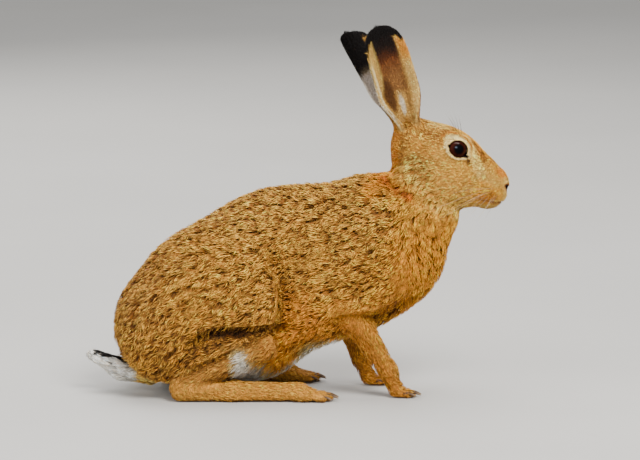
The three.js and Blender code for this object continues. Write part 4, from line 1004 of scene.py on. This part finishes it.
def lay_of(P, N):
    """Which way the hair runs at each point: mm vectors along the surface."""
    q = part_distances(P)
    x, y, z = P
    n = len(x)
    total = np.zeros((n, 3)); weight = np.zeros(n)
    D = np.stack([q[k] for k in PART_ORDER], 1)
    Wt = np.exp(-np.clip(D - D.min(1, keepdims=True), 0, 60) / 5.0)
    sgn = np.sign(y)
    for i, name in enumerate(PART_ORDER):
        k = kind(name)
        v = np.zeros((n, 3))
        if k == "trunk":
            v[:, 0] = -1.0
            v[:, 2] = -0.30 * step(0, 30, np.abs(y)) - 0.5 * step(-90, -150, x)
            front = step(84, 116, x) * step(190, 170, z)
            v = v * (1 - front)[:, None] + np.array([-0.25, 0, -1.0]) * front[:, None]
        elif k == "neck":
            v[:, 0] = -0.62; v[:, 2] = -0.78
            v[:, 1] = 0.15 * sgn
        elif k == "head":
            away = np.stack([x, y, z], 1) - NOSE
            v = unit(away)
            v[:, 2] -= 0.22 * step(250, 225, z - 0.3 * (160 - x))
            down = step(128, 108, x) * step(240, 215, z)
            v = v * (1 - 0.5 * down)[:, None] + np.array([-0.5, 0, -0.8]) * (0.5 * down)[:, None]
        elif k == "haunch":
            v[:, 0] = -0.86; v[:, 2] = -0.52
            v[:, 2] -= 0.5 * step(-90, -140, x)
        elif k == "shank":
            v[:, 0] = -0.86; v[:, 2] = -0.50
        elif k == "foot":
            v[:, 0] = 1.0; v[:, 2] = -0.12
            v[:, 1] = 0.1 * sgn
        elif k == "fore":
            low = step(40, 16, z)
            v[:, 0] = 0.25 * (1 - low) + 1.0 * low
            v[:, 2] = -1.0 * (1 - low) - 0.35 * low
            top = step(70, 96, z)
            v[:, 0] = v[:, 0] * (1 - top) - 0.45 * top
        elif k == "tail":
            v[:, 0] = -1.0; v[:, 2] = 0.35
        elif k == "ear":
            b, uu, vv, ww = ear_frame(EARS[name[4:]])
            v[:] = uu
            U, V_, W_ = ear_local(P, EARS[name[4:]])
            v += vv * (np.sign(V_) * 0.28 * step(0.4, 0.9, np.abs(V_) / np.maximum(ear_half(np.clip(U / EAR_LEN, 0, 1)), 1)))[:, None]
        total += unit(v) * Wt[:, i:i + 1]
        weight += Wt[:, i]
    v = total / weight[:, None]
    v = v + 1e-4
    v -= N * (v * N).sum(1)[:, None]
    return unit(v), q, Wt / Wt.sum(1)[:, None]

def blend_of(column, share):
    vals = np.array([COAT[kind(p)][column] for p in PART_ORDER])
    return share @ vals

# roots, spread over the skin by area and by how dense each region's coat is
tri = SKIN_TRIS
A_, B_, C_ = SKIN_V[tri[:, 0]], SKIN_V[tri[:, 1]], SKIN_V[tri[:, 2]]
area = np.linalg.norm(np.cross(B_ - A_, C_ - A_), axis=1) / 2
mid = (A_ + B_ + C_) / 3
qm = part_distances(columns(mid))
Dm = np.stack([qm[k] for k in PART_ORDER], 1)
which = Dm.argmin(1)
kinds = np.array([["trunk", "neck", "head", "haunch", "shank", "foot", "fore", "tail", "ear"].index(kind(p)) for p in PART_ORDER])[which]
Am, Wm, Bm = eye_local(columns(mid))
eye_near = (np.hypot(Am, Bm) < 19) & (Wm > -4)
face_zone = (kinds == 2) & ((mid[:, 0] > 172) | eye_near)
bare_mid = bare(columns(mid))
sole_zone = (mid[:, 2] < SOLE + 1.3)
print("areas mm2", {n: int(area[kinds == i].sum()) for i, n in enumerate(["trunk", "neck", "head", "haunch", "shank", "foot", "fore", "tail", "ear"])}, "face", int(area[face_zone].sum()), "all", int(area.sum()))

SCALE_N = 1.0

def roots(mask, count, thin=None):
    """count roots on the chosen triangles: position, triangle, corner weights."""
    w = area * mask * (1 - bare_mid) * ~sole_zone
    if thin is not None:
        w = w * thin
    w = w / w.sum()
    t = RNG.choice(len(tri), size=int(count * SCALE_N), p=w)
    a, b = RNG.random(len(t)), RNG.random(len(t))
    over = a + b > 1
    a[over], b[over] = 1 - a[over], 1 - b[over]
    bary = np.stack([1 - a - b, a, b], 1)
    pos = (SKIN_V[tri[t]] * bary[:, :, None]).sum(1)
    nor = unit((SKIN_N[tri[t]] * bary[:, :, None]).sum(1))
    half = len(SKIN_Q)
    corner = np.where((t < half)[:, None], [0, 1, 2], [0, 2, 3])
    quad = np.where(t < half, t, t - half)
    uvs = (SKIN_UV[quad[:, None], corner] * bary[:, :, None]).sum(1)
    return pos, nor, uvs

def toe_zone(P):
    x, y, z = P
    hind = step(-2, 14, x + 6 * (y > 0)) * (np.abs(y) > 36)
    fore_r = step(92, 100, x) * (y < 0); fore_l = step(66, 74, x) * (y > 0)
    return np.maximum(hind * (x < 45), np.maximum(fore_r, fore_l)) * step(22, 14, z)

def turn(v, N, a):
    """v turned about N by the angles a, radians."""
    c, s = np.cos(a)[:, None], np.sin(a)[:, None]
    return v * c + np.cross(N, v) * s

def tufts(name, mask, count, rows, stand=None, length=None, spread=0.25, face=False, thin=None, pale_edge=0.0):
    """One region's coat: thin solid locks laid over the skin, drawn together into clumps."""
    pos, nor, uvs = roots(mask, count, thin)
    n = len(pos)
    P = columns(pos)
    lay, q, share = lay_of(P, nor)
    L = blend_of(0, share); Wd = blend_of(1, share); pull = blend_of(3, share); gap = blend_of(4, share)
    if face:
        A, W, B = eye_local(P)
        o = eye_opening(A, B)
        close = np.minimum(step(14, 2, o) * step(-2, 2, W), 1)
        muz = step(172, 190, P[0])
        small = np.maximum(close, muz)
        L *= 1 - 0.52 * small
        Wd *= 1 - 0.30 * small
        pull *= 1 - 0.6 * small
        Q = (P[0], np.abs(P[1]), P[2])
        L *= 1 - 0.55 * step(5.0, 1.5, np.minimum(nostril(Q), mouth_line(Q)))
    # short in the folds
    L = L * (1 - 0.45 * step(1.0, 5.0, folds(P)))
    if length is not None:
        L = L * length(P)
    if name in ("coat_hind_feet", "coat_fore_legs"):
        toes = toe_zone(P)
        L *= 1 - 0.45 * toes
        Wd *= 1 - 0.25 * toes
    # clumps
    m = max(8, int(area[mask].sum() / np.mean(gap) ** 2))
    seeds = RNG.choice(n, size=min(m, n), replace=False)
    tree = KDTree(len(seeds))
    for i, k in enumerate(seeds):
        tree.insert(pos[k], i)
    tree.balance()
    home = np.array([tree.find(p)[1] for p in pos])
    c_turn = RNG.normal(0, spread, len(seeds)); c_len = RNG.normal(1, 0.13, len(seeds))
    c_up = RNG.random(len(seeds)); c_val = RNG.normal(0, 1, len(seeds)); c_phase = RNG.random(len(seeds)) * 6.28
    c_side = RNG.normal(0, 1, len(seeds))
    c_dark = RNG.random(len(seeds))
    centre = pos[seeds][home]
    ang = c_turn[home] + RNG.normal(0, spread * 0.45, n)
    direction = turn(lay, nor, ang)
    L = L * np.clip(c_len[home], 0.7, 1.35) * RNG.uniform(0.82, 1.15, n)
    # shorter where the surface turns away under the lock, as at the ends of the ears, tail and toes
    for _ in range(2):
        past = outline(columns(pos + direction * L[:, None])) - 0.8
        L = np.maximum(L - np.maximum(past, 0) * 0.9, 0.35 * L)
    Wd = Wd * RNG.uniform(0.75, 1.25, n)
    H = np.maximum(-outline(P), 0.25)
    rise = c_up[home] * 0.6 + RNG.random(n) * 0.4
    high = 1.0 if stand is None else stand(P)
    tlist = {4: [0.0, 0.36, 0.72, 1.0], 3: [0.0, 0.5, 1.0]}[rows]
    side = np.cross(nor, direction)
    centres = []
    back = centre - pos
    back -= nor * (back * nor).sum(1)[:, None]
    for t in tlist:
        c = pos + direction * (L * t)[:, None] + back * (pull * t ** 1.15)[:, None]
        c = c + side * (0.55 * np.sin(c_phase[home] + 5.2 * t) * t * Wd)[:, None]
        if t == 0:
            c = c - nor * (0.35 + 0.12 * H)[:, None]
        else:
            # how deep below the coat's outline this row should lie
            lift = {0.36: 0.52, 0.5: 0.62, 0.72: 0.86, 1.0: 1.0}[t]
            want = -H * (1 - lift * (0.62 + 0.42 * rise)) + (0.9 * high - 0.9) * t
            if t == 1.0:
                want = want - 0.14 * H + RNG.normal(0, 0.10, n) * H
            for _ in range(2):
                miss = want - outline(columns(c))
                c = c + nor * np.clip(miss, -1.2 * H - 1.5, 1.2 * H + 1.5)[:, None]
        low = SOLE + 0.15 - c[:, 2]
        c[:, 2] += np.maximum(low, 0)
        centres.append(c)
    centres = np.stack(centres, 1)
    # cross sections: two edges and a ridge, closing to a point
    along = np.gradient(centres, axis=1)
    along = along / np.maximum(np.linalg.norm(along, axis=2, keepdims=True), 1e-9)
    sd = np.cross(nor[:, None, :], along)
    sd = sd / np.maximum(np.linalg.norm(sd, axis=2, keepdims=True), 1e-9)
    up = np.cross(along, sd)
    shape = {4: [1.0, 0.95, 0.52], 3: [1.0, 0.68]}[rows]
    tilt = RNG.normal(0, 0.22, n)
    ring = []
    for r, wfac in enumerate(shape):
        c, s, u = centres[:, r], sd[:, r], up[:, r]
        half = (Wd * wfac / 2)[:, None]
        s2 = s * np.cos(tilt)[:, None] + u * np.sin(tilt)[:, None]
        ring.append(np.stack([c - s2 * half, c + u * half * 0.42, c + s2 * half], 1))
    per = 3 * len(shape) + 1
    V = np.concatenate([np.concatenate(ring, 1), centres[:, -1:]], 1)      # n, per, 3
    quads, tris = [], [(0, 1, 2)]
    for r in range(len(shape) - 1):
        for k in range(3):
            a, b = 3 * r + k, 3 * r + (k + 1) % 3
            quads.append((a, a + 3, b + 3, b))
    last = 3 * (len(shape) - 1)
    for k in range(3):
        tris.append((last + k, per - 1, last + (k + 1) % 3))
    base = (np.arange(n) * per)[:, None, None]
    Q = (np.array(quads)[None] + base).reshape(-1, 4)
    T = (np.array(tris)[None] + base).reshape(-1, 3)
    ob = make_mesh(name, V.reshape(-1, 3), [Q, T])
    me = ob.data
    # colours
    p = marking(P, q)
    headish = share[:, PART_ORDER.index("head")]
    val = 1 + (0.10 + 0.05 * headish * np.minimum(p.tick, 1)) * c_val[home] + RNG.normal(0, 0.09, n)
    warm = RNG.normal(0, 0.03, n) + 0.02 * c_side[home]
    tip = p.tip * np.clip(val, 0.72, 1.3)[:, None] * np.stack([1 + warm, np.ones(n), 1 - warm], 1)
    dark_clump = (c_dark[home] < (0.09 * headish + 0.05 * (1 - headish)) * p.tick) & (RNG.random(n) < 0.8)
    dark_hair = (RNG.random(n) < 0.20 * p.tick) | dark_clump
    tip[dark_hair] = tip[dark_hair] * 0.42 + p.band[dark_hair] * 0.58
    band = p.band * (1 + RNG.normal(0, 0.12, n))[:, None]
    mix = (0.25 + 0.75 * p.tick)[:, None]
    band = p.tip * 0.86 * (1 - mix) + band * mix
    put_colour(me, "tip", linear(np.repeat(np.clip(tip, 0.01, 1), per, 0)))
    put_colour(me, "band", linear(np.repeat(np.clip(band, 0.008, 1), per, 0)))
    t_rows = np.concatenate([np.repeat(tlist[:-1], 3), [1.0]])
    put_float(me, "along", np.tile(t_rows, n))
    put_float(me, "across", np.tile(np.concatenate([np.tile([0.0, 0.5, 1.0], len(shape)), [0.5]]), n))
    put_float(me, "own", np.repeat(RNG.random(n), per))
    # its place on the skin's unwrap: a patch 0.003 across
    patch = np.concatenate([np.stack([np.tile([0.0, 0.5, 1.0], len(shape)), np.repeat(tlist[:-1], 3)], 1), [[0.5, 1.0]]]) - 0.5
    uvv = (uvs[:, None, :] + patch[None] * 0.003).reshape(-1, 2)
    uvv = np.clip(uvv, 0.0, 1.0)
    layer = me.uv_layers.new(name="OFBake")
    idx = np.empty(len(me.loops), np.int32)
    me.loops.foreach_get("vertex_index", idx)
    layer.data.foreach_set("uv", uvv[idx].astype(np.float32).ravel())
    me.materials.append(COAT_MAT)
    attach(ob, "root")
    PIECES.append(ob)
    print(name, n, "tufts", len(Q) * 2 + len(T), "triangles")
    return ob

# ---------------------------------------------------------------- eyes, claws, whiskers
skin.data.materials.append(SKIN_MAT)
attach(skin, "root")
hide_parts("trunk", "neck", "head", "tail", "ear_left", "ear_right", "haunch_left", "haunch_right", "hindfoot_left", "hindfoot_right", "foreleg_left", "foreleg_right")

def eyeball(side):
    """A ball with the slight bulge of the cornea, its rings centred on the way it looks."""
    s = 1.0 if side == "left" else -1.0
    a, w, b = eye_frame()
    rings, turns = 36, 56
    V, angle, spoke = [], [], []
    limit = radians(150)
    for i in range(rings + 1):
        th = limit * (i / rings) ** 1.15
        for j in range(turns):
            ph = 2 * pi * j / turns
            r = EYE_R - 0.15 + 0.55 * max(0.0, 1 - (th / radians(42)) ** 2) ** 1.5
            p = w * cos(th) * r + (a * cos(ph) + b * sin(ph)) * sin(th) * r
            V.append((EYE[0] + p[0], s * (EYE[1] + p[1]), EYE[2] + p[2]))
            angle.append(th / radians(66))
            spoke.append((cos(ph) * 2.2 + 0.25 * th, sin(ph) * 2.2, 0.35 * th + (3.0 if s > 0 else 0)))
    F = []
    for i in range(rings):
        for j in range(turns):
            k = (j + 1) % turns
            f = (i * turns + j, i * turns + k, (i + 1) * turns + k, (i + 1) * turns + j)
            F.append(f[::-1] if s > 0 else f)
    cap = [rings * turns + j for j in range(turns)]
    ob = make_mesh("eyeball_" + side, np.array(V), [np.array(F)])
    me = ob.data
    put_float(me, "angle", np.array(angle))
    at = me.attributes.new("spoke", "FLOAT_VECTOR", "POINT")
    at.data.foreach_set("vector", np.array(spoke, np.float32).ravel())
    me.materials.append(EYE_MAT)
    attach(ob, "root")
    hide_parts("eye_" + side)
    return ob

for side in ("left", "right"):
    eyeball(side)

def tube(path, radii, sides=6, flat=1.0):
    """A closed tapered tube along a path."""
    path = np.asarray(path, float)
    d = np.gradient(path, axis=0)
    d /= np.linalg.norm(d, axis=1, keepdims=True)
    ref = np.array([0, 1.0, 0]) if abs(d[0][1]) < 0.8 else np.array([1.0, 0, 0])
    V, F3, F4 = [], [], []
    for i, p in enumerate(path):
        s = np.cross(d[i], ref); s /= np.linalg.norm(s)
        u = np.cross(s, d[i])
        for j in range(sides):
            a = 2 * pi * j / sides
            V.append(p + s * cos(a) * radii[i] + u * sin(a) * radii[i] * flat)
    m = len(path)
    for i in range(m - 1):
        for j in range(sides):
            k = (j + 1) % sides
            F4.append((i * sides + j, i * sides + k, (i + 1) * sides + k, (i + 1) * sides + j))
    V.append(path[0]); V.append(path[-1] + d[-1] * radii[-1] * 0.8)
    c0, c1 = len(V) - 2, len(V) - 1
    for j in range(sides):
        k = (j + 1) % sides
        F3.append((c0, k, j)); F3.append((c1, (m - 1) * sides + j, (m - 1) * sides + k))
    along = np.concatenate([np.repeat(np.linspace(0, 1, m), sides), [0, 1]])
    return np.array(V), np.array(F4), np.array(F3), along

CLAW_LEN = 10.0
for side, s in (("left", 1.0), ("right", -1.0)):
    for n_, (off, reach) in enumerate(HIND_TOES, 1):
        back = 12.0 if side == "left" else 0.0
        root = np.array([reach - 6.4 - back, s * (48 + off), 7.2])
        path = [root + np.array([CLAW_LEN * t_, 0.9 * (off / 9.6) * s * t_ * 1.0, -2.6 * t_ * t_]) for t_ in np.linspace(-0.25, 1, 9)]
        V, F4, F3, al = tube(path, np.interp(np.linspace(0, 1, 9), [0, 0.4, 0.8, 1], [1.9, 1.6, 0.95, 0.42]), 10)
        ob = make_mesh("nail_hind_%s_%d" % (side, n_), V, [F4, F3])
        put_float(ob.data, "along", al)
        ob.data.materials.append(CLAW_MAT)
        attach(ob, "root"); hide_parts("claw_hind_%s_%d" % (side, n_))
    f = FORE[side]
    for n_, (off, reach) in enumerate(FORE_TOES, 1):
        root = np.array([f["kn"][0] + reach - 2.0, f["kn"][1] + off * f["out"], 6.4])
        path = [root + np.array([CLAW_LEN * t_, 0.9 * (off / 9.6) * f["out"] * t_, -2.6 * t_ * t_]) for t_ in np.linspace(-0.25, 1, 9)]
        V, F4, F3, al = tube(path, np.interp(np.linspace(0, 1, 9), [0, 0.4, 0.8, 1], [1.9, 1.55, 0.9, 0.42]), 10)
        ob = make_mesh("nail_fore_%s_%d" % (side, n_), V, [F4, F3])
        put_float(ob.data, "along", al)
        ob.data.materials.append(CLAW_MAT)
        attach(ob, "root"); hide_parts("claw_fore_%s_%d" % (side, n_))

# whiskers in rows on the pads, and a few over the eye
VW, F4W, F3W, AW, OW, base = [], [], [], [], [], 0
for s in (1.0, -1.0):
    for r_ in range(4):
        for c_ in range(5):
            if r_ in (0, 3) and c_ in (0, 4):
                continue
            root = np.array([190.0 - 3.1 * c_ + 0.5 * r_, s * (8.0 + 1.25 * c_), 199.0 - 3.0 * r_ + 0.5 * c_])
            for _ in range(3):
                d_ = outline((np.array([root[0]]), np.array([root[1]]), np.array([root[2]])))[0]
                root[1] -= s * (d_ + 1.2)
            length_ = (24 + 7 * c_ + RNG.uniform(-4, 6)) * (1.0 if r_ < 3 else 0.75)
            out_ = np.array([-0.12 - 0.16 * c_ + RNG.normal(0, 0.08), s * (0.80 + RNG.normal(0, 0.06)), 0.26 - 0.26 * r_ + RNG.normal(0, 0.07)])
            out_ /= np.linalg.norm(out_)
            bend_ = np.array([-0.32, 0.0, -0.26 + 0.04 * r_])
            path = [root + out_ * length_ * q_ + bend_ * length_ * 0.55 * q_ ** 2 for q_ in np.linspace(0, 1, 9)]
            V, F4, F3, al = tube(path, 0.15 * (1 - 0.84 * np.linspace(0, 1, 9)), 4)
            VW.append(V); F4W.append(F4 + base); F3W.append(F3 + base); AW.append(al); OW.append(np.full(len(V), RNG.random())); base += len(V)
    for i_ in range(4):
        root = np.array([150.0 + 2.2 * i_, s * 11.5, 253.0 - 1.2 * i_])
        for _ in range(3):
            d_ = outline((np.array([root[0]]), np.array([root[1]]), np.array([root[2]])))[0]
            root[2] -= d_ + 0.9
        out_ = np.array([-0.35 + 0.12 * i_, s * 0.35, 0.85]); out_ /= np.linalg.norm(out_)
        length_ = 16 + RNG.uniform(-2, 6)
        path = [root + out_ * length_ * q_ + np.array([-0.4, s * 0.15, -0.1]) * length_ * 0.5 * q_ ** 2 for q_ in np.linspace(0, 1, 7)]
        V, F4, F3, al = tube(path, 0.15 * (1 - 0.85 * np.linspace(0, 1, 7)), 4)
        VW.append(V); F4W.append(F4 + base); F3W.append(F3 + base); AW.append(al); OW.append(np.full(len(V), 0.1)); base += len(V)
ob = make_mesh("whiskers", np.concatenate(VW), [np.concatenate(F4W), np.concatenate(F3W)])
put_float(ob.data, "along", np.concatenate(AW)); put_float(ob.data, "own", np.concatenate(OW))
ob.data.materials.append(WHISKER_MAT)
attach(ob, "root")

# ---------------------------------------------------------------- the regions of the coat
K = {n: kinds == i for i, n in enumerate(["trunk", "neck", "head", "haunch", "shank", "foot", "fore", "tail", "ear"])}
body_zone = K["trunk"] | K["haunch"]
back_x = mid[:, 0]
low_zone = body_zone & (mid[:, 2] < 62) & (np.abs(mid[:, 1]) < 40)

def shaggy(P):
    """Tufts stand out a little along the rump, the flank's lower edge, the breast and the nape."""
    x, y, z = P
    return 1.0 + 0.9 * step(-120, -165, x) + 0.8 * step(80, 55, z) * step(24, 40, np.abs(y)) + 0.8 * step(104, 122, x) * step(196, 150, z)

cuts = [(-400, -98), (-98, -54), (-54, -8), (-8, 60), (60, 400)]
share_area = [area[body_zone & ~low_zone & (back_x >= a) & (back_x < b)].sum() for a, b in cuts]
for (a, b), ar in zip(cuts, share_area):
    zone = body_zone & ~low_zone & (back_x >= a) & (back_x < b)
    tufts("coat_body_%d" % (cuts.index((a, b)) + 1), zone, 46500 * ar / sum(share_area), 4, shaggy, spread=0.34)
tufts("coat_belly", low_zone, 4500, 3)
tufts("coat_neck", K["neck"], 7800, 4, shaggy)
tufts("coat_head", K["head"] & ~face_zone, 11000, 3)
tufts("coat_face", face_zone, 13000, 3, face=True, spread=0.16)
tufts("coat_fore_legs", K["fore"], 7500, 3, spread=0.18)
tufts("coat_hind_feet", K["foot"] | K["shank"], 8500, 3, spread=0.18)
tufts("coat_ear_right", K["ear"] & (mid[:, 1] < 0), 7800, 3, spread=0.14)
tufts("coat_ear_left", K["ear"] & (mid[:, 1] > 0), 7200, 3, spread=0.14)
tufts("coat_tail", K["tail"], 2200, 4)

# ---------------------------------------------------------------- floor, light and camera
floor = bpy.data.meshes.new("floor")
floor.from_pydata([(-6, -5, 0), (6, -5, 0), (6, 6, 0), (-6, 6, 0)], [], [(0, 1, 2, 3)])
floor = bpy.data.objects.new("floor", floor)
bpy.context.scene.collection.objects.link(floor)
floor.data.materials.append(FLOOR_MAT)

def softbox(name, at, target, w, h, power, colour=(1, 1, 1)):
    l = bpy.data.lights.new(name, "AREA")
    l.shape = "RECTANGLE"; l.size = w; l.size_y = h; l.energy = power; l.color = colour
    o = bpy.data.objects.new(name, l)
    o.location = at
    o.rotation_euler = (Vector(target) - Vector(at)).to_track_quat("-Z", "Y").to_euler()
    bpy.context.scene.collection.objects.link(o)
    return o

key = softbox("key", (0.75, -1.35, 1.85), (0.0, 0, 0.15), 1.0, 1.0, 86, (1.0, 0.97, 0.91))
fill = softbox("fill", (-1.7, -1.4, 1.1), (0, 0, 0.15), 1.6, 1.4, 33, (1.0, 0.98, 0.95))
top = softbox("top", (0.0, 0.5, 2.1), (0, 0, 0.15), 1.8, 1.4, 43, (1.0, 0.98, 0.95))
rim = softbox("rim", (-0.6, 1.8, 1.0), (0, 0, 0.2), 1.2, 0.8, 18, (1.0, 0.97, 0.92))
for l in (key, fill):
    l.visible_glossy = False
# a small cool box for the shine on the eyes
shine = softbox("shine", (-0.45, -2.2, 1.75), (0.15, 0, 0.24), 1.25, 0.95, 34.0, (0.62, 0.78, 1.0))
shine.visible_diffuse = False
floor.visible_glossy = False
world = bpy.data.worlds.new("studio")
bpy.context.scene.world = world
world.use_nodes = True
world.node_tree.nodes["Background"].inputs[0].default_value = (0.86, 0.86, 0.85, 1)
world.node_tree.nodes["Background"].inputs[1].default_value = 0.62
world.cycles_visibility.glossy = False

cam = bpy.data.cameras.new("camera")
cam_ob = bpy.data.objects.new("camera", cam)
bpy.context.scene.collection.objects.link(cam_ob)
target = Vector((0.0209, 0.0, 0.1558))
el = radians(10)
cam_ob.location = target + Vector((0, -cos(el), sin(el))) * 6.0
cam_ob.rotation_euler = (target - cam_ob.location).to_track_quat("-Z", "Y").to_euler()
cam.sensor_width = 36
cam.lens = 36 * 6.0 / 0.608
bpy.context.scene.camera = cam_ob
bpy.context.view_layer.update()
